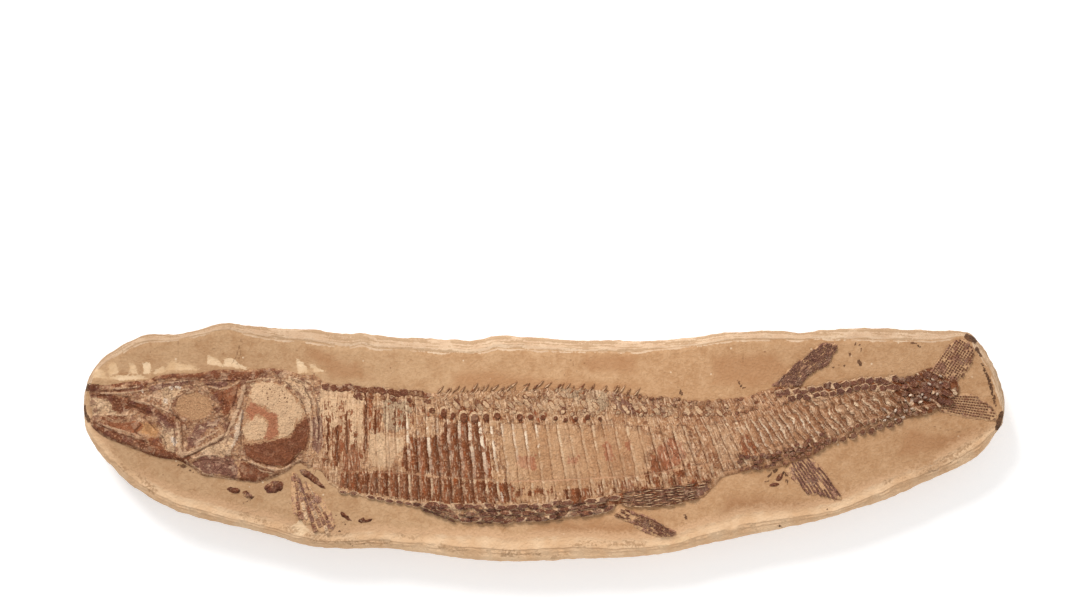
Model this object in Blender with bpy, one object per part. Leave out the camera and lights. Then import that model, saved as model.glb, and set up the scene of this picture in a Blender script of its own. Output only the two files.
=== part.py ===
"""Half of a split stone nodule, with a long-snouted armoured fossil fish lying in its split face.

Outlines are drawn in millimetres on a slab 600 mm long, seen from above: +X towards the tail, +Y towards the fish's
back, +Z up. PER_MM turns them into metres, so SLAB_LENGTH drives every place and width.
"""

import bmesh
import bpy
import numpy as np
from mathutils.geometry import delaunay_2d_cdt

# Driving dimensions
SLAB_LENGTH = 0.600
DRAWN_LENGTH = 600.0
PER_MM = SLAB_LENGTH / DRAWN_LENGTH
FACE_HEIGHT = 36.0
BED_DEPTH = 3.3
GAP = 0.3
EDGE_LIFT = 0.7

# The nodule's silhouette from above: x, y and the width of the worn rim inside it
NODULE_OUTLINE = (
    (-300, 25, 2), (-298, 37, 2), (-294, 47, 3), (-288, 54, 4), (-280, 60, 5), (-270, 66, 5), (-258, 70, 5),
    (-240, 70.5, 4), (-226, 73, 4), (-208, 77.5, 5), (-192, 76, 6), (-170, 74, 7), (-150, 73.5, 8), (-130, 70.5, 8),
    (-118, 71, 8), (-100, 68.5, 8), (-70, 67, 8), (-45, 66.5, 8), (-28, 68, 8), (0, 66.5, 8), (25, 65, 7),
    (50, 64.7, 7), (75, 64.8, 6), (100, 67.5, 6), (125, 70.5, 6), (150, 71.3, 6), (166, 69.7, 5), (185, 72, 6),
    (210, 72.8, 7), (240, 72, 7), (262, 71.3, 5), (273, 72, 3), (279, 69.8, 3), (284, 64, 4), (289.3, 57, 5),
    (293.5, 49, 5), (297.3, 38, 4), (300, 26, 3), (299, 14, 2), (295, 7, 4), (286, -6, 9), (272, -15, 9), (250, -25, 9),
    (230, -34, 10), (210, -41.5, 8.5), (190, -48, 6.5), (165, -54, 9), (135, -60, 12), (105, -66.5, 10), (80, -72, 8),
    (50, -75, 10), (20, -76, 13), (-15, -77.5, 14), (-45, -76.5, 13), (-75, -72.5, 11), (-105, -69, 9),
    (-135, -69, 8), (-155, -67, 8), (-175, -61, 8), (-200, -55, 8), (-225, -49, 8), (-248, -41, 7), (-268, -28, 7),
    (-284, -13, 5), (-293, -2, 4), (-298, 9, 2),
)
RIM_POINTS = 120

# The nodule's side as rings: share of the rim width inside the silhouette, millimetres further in, and height
SIDE_RINGS = (
    (0.62, 0.0, FACE_HEIGHT - 0.8),
    (0.52, 0.0, FACE_HEIGHT - 2.6),
    (0.12, 0.0, FACE_HEIGHT - 4.4),
    (0.0, 0.0, FACE_HEIGHT - 9.0),
    (0.0, 1.5, 19.0),
    (0.0, 7.0, 9.0),
    (0.0, 16.0, 2.6),
    (0.0, 25.0, 0.0),
)
SIDE_WOBBLE = 1.1
FACE_SWELL = 0.35
FACE_GRID = 15.0

# Body armour: columns of scales from the shoulder to the tail. The tables give millimetres at places along X
FIRST_COLUMN, LAST_COLUMN = -146.0, 258.0
COLUMN_PITCH = ((-146, 6.1), (-100, 6.5), (-40, 7.2), (60, 7.4), (100, 7.2), (140, 5.4), (180, 5.6), (260, 6.2))
COLUMN_LEAN = (
    (-146, 0.0), (-100, 0.03), (-40, 0.12), (0, 0.16), (60, 0.22), (100, 0.36), (130, 0.5), (160, 0.7), (200, 0.85),
    (260, 0.9),
)
BODY_MIDLINE = ((-146, 5), (-100, -2), (-40, -8), (20, -6), (70, -3), (120, 2), (160, 9), (200, 19), (240, 30), (262, 34))
BACK_EDGE = (
    (-147, 41), (-130, 37.5), (-112, 35), (-95, 33.5), (-75, 32.5), (-55, 33.5), (-25, 34), (5, 35.5), (35, 35.5),
    (62, 32), (90, 27), (106, 27.3), (116, 28), (135, 30.5), (150, 36.5), (180, 36.5), (210, 43), (240, 43.5),
    (265, 45),
)
BACK_ROW_FOOT = (
    (-147, 34), (-130, 31.5), (-112, 30), (-95, 28.5), (-75, 27.5), (-25, 28), (5, 29), (35, 28.5), (62, 26), (90, 22),
    (116, 22), (135, 25), (155, 30), (180, 31.5), (210, 37), (240, 38.5), (265, 40),
)
SECOND_ROW_FOOT = (
    (-147, 31), (-112, 27), (-75, 23.5), (-55, 22.5), (-25, 21), (5, 20), (62, 18.5), (116, 18), (135, 20.5),
    (155, 24), (180, 27), (210, 33), (240, 34.5), (265, 36),
)
FLANK_TOP = (
    (-147, 29), (-112, 24), (-95, 21.5), (-75, 17), (-55, 14.5), (-25, 12.5), (35, 11.5), (62, 10.5), (106, 11.5),
    (135, 15), (155, 18.5), (180, 22), (210, 28.5), (240, 31), (265, 33),
)
FLANK_FOOT = (
    (-147, -15), (-112, -19), (-95, -19.5), (-75, -21.5), (-25, -25), (5, -24.5), (62, -21.5), (90, -16.5),
    (116, -12), (135, -8), (155, -2), (180, 4.5), (210, 15), (240, 23), (265, 27),
)
LOWER_ROW_FOOT = (
    (-147, -18), (-140, -24.5), (-130, -29), (-112, -34), (-95, -37), (-55, -39.5), (-25, -40), (5, -38), (35, -34.5), (50, -32.5),
    (90, -28), (106, -25), (116, -19), (135, -15), (155, -9), (180, 1), (210, 11.5), (240, 19), (265, 24),
)
BELLY_EDGE = (
    (-147, -20), (-140, -28), (-130, -34), (-112, -37.5), (-95, -40.5), (-75, -45), (-57, -51.5), (-25, -52.5), (5, -50.5),
    (35, -46.8), (43, -44.5), (50, -39.5), (57, -41.5), (75, -41.8), (90, -39.5), (104, -36), (110, -29),
    (116, -22.5), (135, -18), (155, -16), (180, -2), (210, 6.5), (240, 16.5), (265, 21),
)
ROW_LINES = (BACK_EDGE, BACK_ROW_FOOT, SECOND_ROW_FOOT, FLANK_TOP, FLANK_FOOT, LOWER_ROW_FOOT, BELLY_EDGE)
CREST_ROWS = (0.5, 1.5, 2.5, 3.25, 3.7, 4.5, 5.5)
GROOVE_ROWS = (1.0, 2.0, 3.0, 4.0, 5.0)
BODY_BULGE = 4.0
BULGE_PER_DEPTH = 0.075
SCALE_STEP = 1.0
ROW_GROOVE = 0.7
CREST_SHARE = 0.28
TIP_REACH = 0.8

# Head: its outline along the top and the underside, and points of its main bones as x, y and height over the face
HEAD_TOP = (
    (-294, 31), (-295, 36.5), (-290, 38.5), (-270, 39.5), (-258, 41.5), (-246, 44.5), (-226, 45.5), (-214, 48),
    (-192, 47.5), (-180, 48.5), (-168, 48), (-160, 45.5), (-150, 43.5),
)
HEAD_UNDERSIDE = (
    (-150, -17), (-157, -12.5), (-166, -18), (-172, -21.5), (-182, -25.5), (-190, -26.5), (-204, -24.5), (-222, -21.5),
    (-229, -16), (-236, -12), (-250, -9), (-262, -5.5), (-280, 1.5), (-290, 6), (-294, 11), (-294, 20),
)
HEAD_BONES = (
    (2.0, ((-289, 36), (-272, 37), (-258, 38.5))),
    (3.0, ((-246, 41), (-232, 42.5), (-216, 44), (-200, 43.5), (-184, 44), (-170, 44))),
    (0.9, ((-288, 33.8), (-274, 33.5), (-262, 33), (-252, 34), (-244, 37))),
    (2.6, ((-288, 30.5), (-276, 28.5), (-263, 26), (-252, 21.5), (-245, 15))),
    (0.5, ((-289, 24), (-280, 23), (-270, 20), (-262, 18))),
    (2.2, ((-289, 15), (-278, 15), (-265, 14), (-254, 9), (-246, 3))),
    (3.2, ((-286, 8), (-274, 3.5), (-262, -1), (-250, -5), (-240, -7.5))),
    (3.0, ((-239, 11), (-237, 3), (-236.5, -5))),
    (3.8, ((-201, 30), (-202, 20), (-206, 10), (-213, 3), (-223, -2.5), (-232, -7))),
    (1.6, ((-226, 9), (-219, 10), (-212, 14), (-229, 1))),
    (2.2, ((-209, 35), (-206, 27), (-209, 20))),
    (2.4, ((-226, -12), (-214, -8), (-206, -14), (-216, -17))),
    (4.2, ((-200, 14), (-202, 6), (-204, -2))),
    (2.6, ((-195, -16), (-188, -21), (-181, -20))),
)
EYE_SOCKET = (-227.0, 23.5, 11.5, 8.5)
EYE_RINGS = ((1.25, 2.8), (0.9, 1.0), (0.35, 1.3))
GILL_COVER = (-175.0, 12.0, 22.0, 27.5)
GILL_RINGS = ((1.04, 1.2), (0.92, 3.6), (0.66, 5.0), (0.33, 5.9))
GILL_CROWN = 6.2
SHOULDER_ARCS = ((1.2, 3.0), (1.33, 1.8))
SHOULDER_SWEEP = (-35.0, 75.0)

# Fins: outlines, and rays fanned from a base line to a tip line
BACK_FIN = (
    (149, 38.5), (155, 42.5), (160, 48.5), (167, 53.5), (171, 56), (175, 60), (180, 63.5), (189, 64), (190, 60),
    (187, 55), (184, 50), (178, 47), (172, 43.5), (169, 40), (177, 37.6),
)
BACK_FIN_RAYS = ((152, 38), (168, 39), (186, 63), (182, 49))
TAIL_FIN = (
    (241, 45), (246, 48), (253, 49.5), (259, 57), (264, 63.5), (268, 66), (275, 66), (279, 61), (279, 56), (277, 49),
    (272, 43), (269, 38), (268, 32.5), (273, 32), (279, 31), (285, 28.5), (291, 22.5), (294, 18.5), (292, 14.2),
    (282, 14.5), (273, 16), (262, 18), (256, 20), (250, 18.2),
)
UPPER_LOBE_RAYS = ((249, 46), (265, 37), (267, 64), (277, 57))
LOWER_LOBE_RAYS = ((262, 29), (256, 21), (289, 23), (286, 15.5))
BELLY_REAR_FIN = (
    (172, -9), (178, -14.5), (182, -18), (185, -23), (188, -29), (192, -33.5), (193, -37), (187, -36.5), (180, -34),
    (173, -33.5), (166, -28), (161, -24), (157, -17.5),
)
BELLY_REAR_FIN_RAYS = ((160, -15), (172, -10), (180, -33), (189, -34))
RAY_CREST, RAY_VALLEY = 1.7, 0.8
RAYS_PER_FIN = 5
STEPS_PER_RAY = 5

# Pieces that lie apart from the fish
BREAST_FIN = (
    (-164, -20.5), (-160.5, -21), (-157.3, -26.5), (-152.5, -27.3), (-150, -31.5), (-144, -37), (-139, -45), (-136, -52),
    (-138, -57.5), (-147, -58), (-151, -53.5), (-156, -53), (-159, -48), (-163, -46), (-164.5, -33),
)
BREAST_FIN_RAYS = ((-162, -22), (-152, -27), (-158, -49), (-138, -53))
PELVIC_FIN = (
    (46, -45.5), (50, -42), (56, -43.8), (61, -46), (68, -48), (74, -51.5), (79, -55), (86, -58), (84, -61),
    (78, -61.5), (70, -60), (62, -57), (57, -53), (51, -50.5), (47, -48),
)
PELVIC_FIN_RAYS = ((47, -47), (52, -44), (78, -60), (84, -58.5))
SHOULDER_BONE = ((-159, -18), (-155, -17.8), (-149, -21.5), (-144.5, -26.5), (-142, -30), (-146, -28.5), (-152, -24.5), (-157, -21))
LOOSE_BONES = {
    "throat_bone_1": (-201.5, -31.0, 9.5, 3.2, -6),
    "throat_bone_2": (-192.5, -34.0, 7.5, 3.0, -24),
    "throat_bone_3": (-175.8, -28.8, 13.5, 6.8, 14),
    "chest_bone_1": (-128.5, -48.0, 8.5, 2.6, -32),
    "chest_bone_2": (-116.5, -50.6, 10.0, 2.6, 8),
    "vent_bone_1": (153.0, -22.8, 6.5, 3.4, 42),
    "vent_bone_2": (149.5, -27.6, 6.0, 2.6, 12),
}
LOOSE_BONE_SIDES = 9
LOOSE_BONE_CROWN = 1.6

STONE_COLOUR = (0.52, 0.32, 0.18, 1.0)
FOSSIL_COLOUR = (0.21, 0.09, 0.045, 1.0)
INSIDE_MARGIN = 1.0


def along(table, x):
    """A table of (x, value) pairs read at x, on a smooth curve through its points."""
    places, values = np.array(table, float).T
    slopes = np.gradient(values, places)
    x = np.clip(x, places[0], places[-1])
    i = np.clip(np.searchsorted(places, x) - 1, 0, len(places) - 2)
    span = places[i + 1] - places[i]
    t = (x - places[i]) / span
    start = values[i] * (1 + 2 * t) * (1 - t) ** 2 + slopes[i] * span * t * (1 - t) ** 2
    end = values[i + 1] * t * t * (3 - 2 * t) + slopes[i + 1] * span * t * t * (t - 1)
    return start + end


def smooth_loop(points, count):
    """A closed smooth curve through the points, as count evenly spaced points."""
    points = np.array(points, float)
    before, after, later = (np.roll(points, shift, axis=0) for shift in (1, -1, -2))
    t = np.linspace(0, 1, 16, endpoint=False)[None, :, None]
    p0, p1, p2, p3 = (p[:, None, :] for p in (before, points, after, later))
    curve = 0.5 * (2 * p1 + (p2 - p0) * t + (2 * p0 - 5 * p1 + 4 * p2 - p3) * t**2 + (3 * p1 - p0 - 3 * p2 + p3) * t**3)
    curve = curve.reshape(-1, points.shape[1])
    closed = np.vstack([curve, curve[:1]])
    length = np.concatenate([[0], np.cumsum(np.linalg.norm(np.diff(closed[:, :2], axis=0), axis=1))])
    wanted = np.linspace(0, length[-1], count, endpoint=False)
    return np.column_stack([np.interp(wanted, length, closed[:, k]) for k in range(points.shape[1])])


def moved_out(loop, distance):
    """A closed outline moved outwards by a distance, or inwards by a negative one. The loop may run either way."""
    loop = np.asarray(loop, float)
    ahead = np.roll(loop, -1, axis=0) - loop
    ahead /= np.linalg.norm(ahead, axis=1)[:, None]
    behind = np.roll(ahead, 1, axis=0)
    x, y = loop.T
    turn = np.sign(np.sum(x * np.roll(y, -1) - np.roll(x, -1) * y))
    middle = ahead + behind
    middle /= np.maximum(np.linalg.norm(middle, axis=1), 0.2)[:, None]
    outwards = np.column_stack([middle[:, 1], -middle[:, 0]]) * turn
    stretch = 1 / np.maximum(np.einsum("ij,ij->i", middle, ahead), 0.5)
    return loop + outwards * (np.asarray(distance) * stretch)[:, None]


def evened(loop, passes):
    """A closed outline with its corners worn rounder by each pass."""
    for _ in range(passes):
        loop = (np.roll(loop, 1, axis=0) + 2 * loop + np.roll(loop, -1, axis=0)) / 4
    return loop


def is_inside(points, loop):
    """True for each point inside the closed outline."""
    points = np.atleast_2d(points)
    a, b = loop, np.roll(loop, -1, axis=0)
    x, y = points[:, :1], points[:, 1:2]
    crosses = (a[:, 1] > y) != (b[:, 1] > y)
    rise = np.where(b[:, 1] == a[:, 1], 1e-9, b[:, 1] - a[:, 1])
    hit = x < (b[:, 0] - a[:, 0]) * (y - a[:, 1]) / rise + a[:, 0]
    return (crosses & hit).sum(axis=1) % 2 == 1


def distance_to(points, loop):
    """The distance from each point to the nearest edge of the closed outline."""
    a, b = loop, np.roll(loop, -1, axis=0)
    edge = b - a
    to_point = points[:, None, :] - a[None]
    share = np.clip(np.einsum("pej,ej->pe", to_point, edge) / np.einsum("ej,ej->e", edge, edge), 0, 1)
    return np.linalg.norm(to_point - share[..., None] * edge, axis=2).min(axis=1)


def triangles_inside(loops, spots, holes=()):
    """Triangles that fill the first loop, leave out the holes and use every spot. Points and triples come back."""
    points = np.vstack([*loops, *holes, *([spots] if len(spots) else [])])
    edges, start = [], 0
    for loop in (*loops, *holes):
        edges += [(start + k, start + (k + 1) % len(loop)) for k in range(len(loop))]
        start += len(loop)
    made, _, faces, _, _, _ = delaunay_2d_cdt([tuple(p) for p in points], edges, [], 1, 1e-5)
    made = np.array([tuple(p) for p in made])
    faces = np.array(faces)
    centres = made[faces].mean(axis=1)
    kept = ~np.any([is_inside(centres, hole) for hole in holes], axis=0) if holes else np.full(len(faces), True)
    return made, faces[kept]


def material(name, colour, roughness):
    """A plain finish for one kind of piece."""
    made = bpy.data.materials.new(name)
    made.use_nodes = True
    shader = made.node_tree.nodes["Principled BSDF"]
    shader.inputs["Base Color"].default_value = colour
    shader.inputs["Roughness"].default_value = roughness
    shader.inputs["Metallic"].default_value = 0.0
    return made


def solid(name, sheets, finish, sharp_degrees=35):
    """One closed object from sheets of (points, faces) in millimetres, joined where their edges meet."""
    shape = bmesh.new()
    for points, faces in sheets:
        corners = [shape.verts.new(np.asarray(p, float) * PER_MM) for p in points]
        for face in faces:
            shape.faces.new([corners[k] for k in face])
    bmesh.ops.remove_doubles(shape, verts=shape.verts, dist=0.004 * PER_MM)
    bmesh.ops.delete(shape, geom=[v for v in shape.verts if not v.link_faces], context="VERTS")
    bmesh.ops.recalc_face_normals(shape, faces=shape.faces)
    mesh = bpy.data.meshes.new(name)
    shape.to_mesh(mesh)
    shape.free()
    mesh.shade_smooth()
    mesh.set_sharp_from_angle(angle=np.radians(sharp_degrees))
    mesh.materials.append(finish)
    made = bpy.data.objects.new(name, mesh)
    bpy.context.collection.objects.link(made)
    return made


def wall(upper, lower):
    """The band of quads between two rings with the same number of points."""
    count = len(upper)
    faces = [(k, (k + 1) % count, count + (k + 1) % count, count + k) for k in range(count)]
    return np.vstack([upper, lower]), faces


def at_height(loop, height):
    """A flat loop lifted to a height, which may differ from point to point."""
    return np.column_stack([loop[:, :2], np.broadcast_to(height, len(loop))])


def face_height(points):
    """Height of the nodule's split face, which swells gently."""
    x, y = points[:, 0], points[:, 1]
    return FACE_HEIGHT + FACE_SWELL * np.sin(x / 43 + y / 29) * np.cos(y / 23 - x / 67)


def column_places():
    """Where each scale column starts along the body, at half its height."""
    places = [FIRST_COLUMN]
    while places[-1] < LAST_COLUMN:
        places.append(places[-1] + along(COLUMN_PITCH, places[-1]))
    return np.array(places)


def on_body(place, row):
    """The point where a column's edge, which leans back, meets a row line. Row 0 is the back and row 6 the belly."""
    lean, middle, x = along(COLUMN_LEAN, place), along(BODY_MIDLINE, place), place
    for _ in range(8):
        y = np.interp(row, range(len(ROW_LINES)), [along(line, x) for line in ROW_LINES])
        x = 0.5 * x + 0.5 * (place + lean * (middle - y))
    return x, y


def body_spots():
    """Inner points of the armour, with a crest and a groove for each column and each row of scales."""
    places, spots = column_places(), []
    for front, pitch in zip(places, np.diff(places, append=places[-1] + 6)):
        for share, column_rise in ((0.0, 0.0), (CREST_SHARE, SCALE_STEP)):
            for row in sorted(CREST_ROWS + GROOVE_ROWS):
                x, y = on_body(front + share * pitch, row)
                top, foot = along(BACK_EDGE, x), along(BELLY_EDGE, x)
                across = 2 * (top - y) / (top - foot) - 1
                bulge = min(BODY_BULGE, BULGE_PER_DEPTH * (top - foot)) * (1 - abs(across) ** 2.4)
                rise = EDGE_LIFT + bulge + column_rise - ROW_GROOVE * (row in GROOVE_ROWS)
                spots.append((x, y, max(rise, 0.35)))
    return spots


def body_edge(row, first, last):
    """The armour's back or belly edge between two places, with a tip for each scale."""
    places, edge = column_places(), []
    away = 1 if row == 0 else -1
    for front, pitch in zip(places, np.diff(places, append=places[-1] + 6)):
        for share, reach in ((0.0, 0.0), (0.55, TIP_REACH)):
            x, y = on_body(front + share * pitch, row)
            if first <= x <= last:
                edge.append((x, y + away * reach))
    return edge


def fish_outline():
    """The whole fish from above, clockwise from the snout: head, back, fins, tail and belly."""
    back = body_edge(0, -146, 147) + list(BACK_FIN) + body_edge(0, 180, 238)
    belly = body_edge(6, 176, 247)[::-1] + list(BELLY_REAR_FIN) + body_edge(6, -146, 154)[::-1]
    belly = [p for p in belly if p[0] > 160 or p[1] < -14 or p in BELLY_REAR_FIN]
    return np.array(list(HEAD_TOP) + back + list(TAIL_FIN) + belly + list(HEAD_UNDERSIDE), float)


def ring_spots(oval, rings, count):
    """Points on rings round an oval, each ring at its own share of the radius and its own height."""
    x, y, across, up = oval
    turns = np.linspace(0, 2 * np.pi, count, endpoint=False)
    return [(x + across * s * np.cos(a), y + up * s * np.sin(a), h) for s, h in rings for a in turns]


def shoulder_spots():
    """The arched shoulder bones behind the gill cover, as two arcs beside its rear edge."""
    x, y, across, up = GILL_COVER
    turns = np.radians(np.linspace(*SHOULDER_SWEEP, 9))
    return [(x + across * s * np.cos(a), y + up * s * np.sin(a), h) for s, h in SHOULDER_ARCS for a in turns]


def head_spots():
    """Inner points of the skull, jaws, eye socket, gill cover and shoulder."""
    gill_x, gill_y, gill_across, gill_up = GILL_COVER
    bones = [(x, y, height) for height, line in HEAD_BONES for x, y in line]
    spots = bones + ring_spots(EYE_SOCKET, EYE_RINGS, 12) + ring_spots(GILL_COVER, GILL_RINGS, 22)
    spots.append((gill_x, gill_y, GILL_CROWN))
    return spots + shoulder_spots()


def ray_spots(fan, rays=RAYS_PER_FIN):
    """Crests and valleys of fin rays, fanned from a base line to a tip line."""
    base_start, base_end, tip_start, tip_end = (np.array(p, float) for p in fan)
    spots = []
    for k in range(2 * rays + 1):
        share = k / (2 * rays)
        base = base_start + (base_end - base_start) * share
        tip = tip_start + (tip_end - tip_start) * share
        height = RAY_CREST if k % 2 else RAY_VALLEY
        spots += [(*(base + (tip - base) * t), height) for t in np.linspace(0.08, 1, STEPS_PER_RAY)]
    return spots


def thinned(spots, loop):
    """The spots that lie well inside the loop, without any that crowd an earlier one."""
    spots = np.array(spots, float)
    clear = is_inside(spots, loop)
    clear[clear] = distance_to(spots[clear, :2], loop) > INSIDE_MARGIN
    kept = []
    for spot in spots[clear]:
        if not kept or np.hypot(*(np.array(kept)[:, :2] - spot[:2]).T).min() > 0.9:
            kept.append(spot)
    return np.array(kept)


def inlaid(name, loop, spots, finish):
    """A piece of the fossil: relief on top, straight sides down into its bed, and a flat underside."""
    points, faces = triangles_inside([loop], spots[:, :2])
    heights = np.full(len(points), FACE_HEIGHT + EDGE_LIFT)
    for k, point in enumerate(points):
        near = np.hypot(*(spots[:, :2] - point).T)
        if near.min() < 0.01:
            heights[k] = FACE_HEIGHT + spots[near.argmin(), 2]
    foot = FACE_HEIGHT - BED_DEPTH + GAP
    flat, flat_faces = triangles_inside([loop], [])
    sheets = [
        (at_height(points, heights), faces),
        wall(at_height(loop, FACE_HEIGHT + EDGE_LIFT), at_height(loop, foot)),
        (at_height(flat, foot), flat_faces),
    ]
    return solid(name, sheets, finish)


def loose_bone(x, y, length, width, degrees, seed):
    """The outline and the crown points of a small broken bone."""
    wobble = np.random.default_rng(seed).uniform(0.78, 1.12, LOOSE_BONE_SIDES)
    turns = np.linspace(0, 2 * np.pi, LOOSE_BONE_SIDES, endpoint=False)
    shape = np.column_stack([length / 2 * np.cos(turns) * wobble, width / 2 * np.sin(turns) * wobble])
    crown = np.array([(-length / 4, 0), (0, width * 0.08), (length / 4, 0)])
    c, s = np.cos(np.radians(degrees)), np.sin(np.radians(degrees))
    turn = np.array([(c, s), (-s, c)])
    heights = np.array([[0.8], [1.0], [0.7]]) * LOOSE_BONE_CROWN
    return shape @ turn + (x, y), np.hstack([crown @ turn + (x, y), heights])


def fossil_pieces():
    """Every fossil piece as its outline and its relief points."""
    fish = fish_outline()
    fins = ray_spots(BACK_FIN_RAYS) + ray_spots(BELLY_REAR_FIN_RAYS)
    fins += ray_spots(UPPER_LOBE_RAYS) + ray_spots(LOWER_LOBE_RAYS, 4)
    pieces = {"fish": (fish, thinned(head_spots() + body_spots() + fins, fish))}
    for name, outline, rays in (
        ("pectoral_fin", BREAST_FIN, BREAST_FIN_RAYS),
        ("pelvic_fin", PELVIC_FIN, PELVIC_FIN_RAYS),
    ):
        loop = np.array(outline, float)
        pieces[name] = (loop, thinned(ray_spots(rays), loop))
    loop = np.array(SHOULDER_BONE, float)
    middle = (loop + loop[::-1]) / 2
    pieces["shoulder_bone"] = (loop, np.array([(*p, LOOSE_BONE_CROWN) for p in middle[1:3]]))
    for seed, (name, bone) in enumerate(LOOSE_BONES.items()):
        pieces[name] = loose_bone(*bone, seed)
    return pieces


def nodule(beds, finish):
    """The half nodule: split face with a bed for each fossil piece, worn rim, rounded sides and flat resting face."""
    outline = smooth_loop(NODULE_OUTLINE, RIM_POINTS)
    shape, rim = outline[:, :2], outline[:, 2]
    face_loop = moved_out(shape, -rim)
    grid_x = np.arange(-290, 291, FACE_GRID)
    grid_y = np.arange(-72, 73, FACE_GRID)
    grid = np.array([(x + (k % 2) * FACE_GRID / 2, y) for k, y in enumerate(grid_y) for x in grid_x])
    free = is_inside(grid, face_loop) & (distance_to(grid, face_loop) > 4)
    for bed in beds:
        free &= ~is_inside(grid, bed) & (distance_to(grid, bed) > 3)
    points, faces = triangles_inside([face_loop], grid[free], beds)
    sheets = [(at_height(points, face_height(points)), faces)]
    for bed in beds:
        foot = FACE_HEIGHT - BED_DEPTH
        floor, floor_faces = triangles_inside([bed], [])
        sheets.append(wall(at_height(bed, face_height(bed)), at_height(bed, foot)))
        sheets.append((at_height(floor, foot), floor_faces))
    ring = at_height(face_loop, face_height(face_loop))
    wobble = np.random.default_rng(7)
    for share, further, height in SIDE_RINGS:
        rough = SIDE_WOBBLE * wobble.uniform(-1, 1, (2, RIM_POINTS)) * (0 < height) * (further + share > 0)
        inset = np.clip(rim * share + further + rough[0], 0, None)
        following = at_height(evened(moved_out(shape, -inset), int(further // 2)), height + rough[1] * 0.4)
        sheets.append(wall(ring, following))
        ring = following
    base, base_faces = triangles_inside([ring[:, :2]], [])
    sheets.append((at_height(base, 0.0), base_faces))
    return solid("stone", sheets, finish, 50)


def clear_scene():
    """Removes whatever the scene holds."""
    for thing in list(bpy.data.objects):
        bpy.data.objects.remove(thing)


def build():
    """The stone and, in its beds, the fish and the pieces that lie apart from it."""
    clear_scene()
    stone_finish = material("nodule_stone", STONE_COLOUR, 0.92)
    fossil_finish = material("fossil_bone", FOSSIL_COLOUR, 0.45)
    pieces = fossil_pieces()
    nodule([moved_out(loop, GAP) for loop, _ in pieces.values()], stone_finish)
    for name, (loop, spots) in pieces.items():
        inlaid(name, loop, spots, fossil_finish)


build()
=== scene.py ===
"""A fossil fish in half of a split stone nodule, dressed for a close look.

Lengths are in millimetres until a mesh is made, seen from above: +X towards the fish's tail, +Y towards its back.
"""

import bpy
import numpy as np
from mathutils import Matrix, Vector
from mathutils.geometry import delaunay_2d_cdt
from mathutils.kdtree import KDTree


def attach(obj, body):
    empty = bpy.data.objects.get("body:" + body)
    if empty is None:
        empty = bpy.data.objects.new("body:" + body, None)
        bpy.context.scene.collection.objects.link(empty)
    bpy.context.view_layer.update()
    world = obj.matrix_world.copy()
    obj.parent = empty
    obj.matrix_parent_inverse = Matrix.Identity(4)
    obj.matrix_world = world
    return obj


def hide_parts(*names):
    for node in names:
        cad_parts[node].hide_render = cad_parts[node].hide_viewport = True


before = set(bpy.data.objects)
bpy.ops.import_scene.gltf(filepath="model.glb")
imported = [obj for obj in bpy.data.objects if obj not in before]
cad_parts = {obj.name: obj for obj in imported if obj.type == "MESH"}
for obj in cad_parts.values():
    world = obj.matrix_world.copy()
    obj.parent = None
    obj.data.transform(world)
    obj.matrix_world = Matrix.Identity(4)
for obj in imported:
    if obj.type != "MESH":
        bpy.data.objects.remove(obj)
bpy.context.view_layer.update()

# The nodule: half of a split limestone lump. Its split face is smooth tan stone, its rim is chipped down to pale
# ledges, and its weathered skin runs round the sides to the flat patch that it rests on.
MM = 0.001
FACE = 36.0
NODULE_OUTLINE = (
    (-300, 25, 2), (-298, 37, 2), (-294, 47, 3), (-288, 54, 4), (-280, 60, 5), (-270, 66, 5), (-258, 70, 5),
    (-240, 70.5, 4), (-226, 73, 4), (-208, 77.5, 5), (-192, 76, 6), (-170, 74, 7), (-150, 73.5, 8), (-130, 70.5, 8),
    (-118, 71, 8), (-100, 68.5, 8), (-70, 67, 8), (-45, 66.5, 8), (-28, 69.3, 8), (0, 67.8, 8), (25, 66.3, 7),
    (50, 66, 7), (75, 66.1, 6), (100, 68.8, 6), (125, 71.8, 6), (150, 72.6, 6), (166, 71, 5), (185, 73.3, 6),
    (210, 74.1, 7), (240, 73.3, 7), (262, 72.6, 5), (273, 72, 3), (279, 69.8, 3), (284, 64, 4), (289.3, 57, 5),
    (293.5, 49, 5), (297.3, 38, 4), (300, 26, 3), (299, 14, 2), (295, 7, 4), (286, -6, 9), (272, -15, 9),
    (250, -25, 9), (230, -34, 10), (210, -41.5, 8.5), (190, -48, 6.5), (165, -54, 9), (135, -60, 12),
    (105, -66.5, 10), (80, -72, 8), (50, -75, 10), (20, -76, 13), (-15, -77.5, 14), (-45, -76.5, 13),
    (-75, -72.5, 11), (-105, -69, 9), (-135, -69, 8), (-155, -67, 8), (-175, -61, 8), (-200, -55, 8),
    (-225, -49, 8), (-248, -41, 7), (-268, -28, 7), (-284, -13, 5), (-293, -2, 4), (-298, 9, 2),
)
SIDE_RINGS = (
    (0.96, 0.0, -0.15), (0.88, 0.0, -0.35), (0.7, 0.0, -0.7), (0.62, 0.0, -0.95), (0.6, 0.0, -1.7),
    (0.42, 0.0, -2.1), (0.38, 0.0, -2.9), (0.18, 0.0, -3.4), (0.1, 0.0, -4.3), (0.03, 0.0, -5.6), (0.0, 0.0, -7.2),
    (0.0, 0.1, -9.4), (0.0, 0.5, -12.5), (0.0, 1.5, -17.0), (0.0, 3.6, -22.0), (0.0, 7.0, -27.0),
    (0.0, 12.0, -31.4), (0.0, 17.5, -34.2), (0.0, 22.0, -35.6), (0.0, 25.0, -36.0),
)
STONE_STEP = 1.2
# Painted shade along the slab: how much the stone's colour is darkened at each x, to even out the uneven light of the
# lamps.
STONE_PAINTED_SHADE = ((-300, 0.3), (-200, 0.26), (-100, 0.16), (-60, 0.09), (40, 0.04), (90, 0.06), (140, 0.12), (200, 0.16),
                 (290, 0.2))
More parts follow.
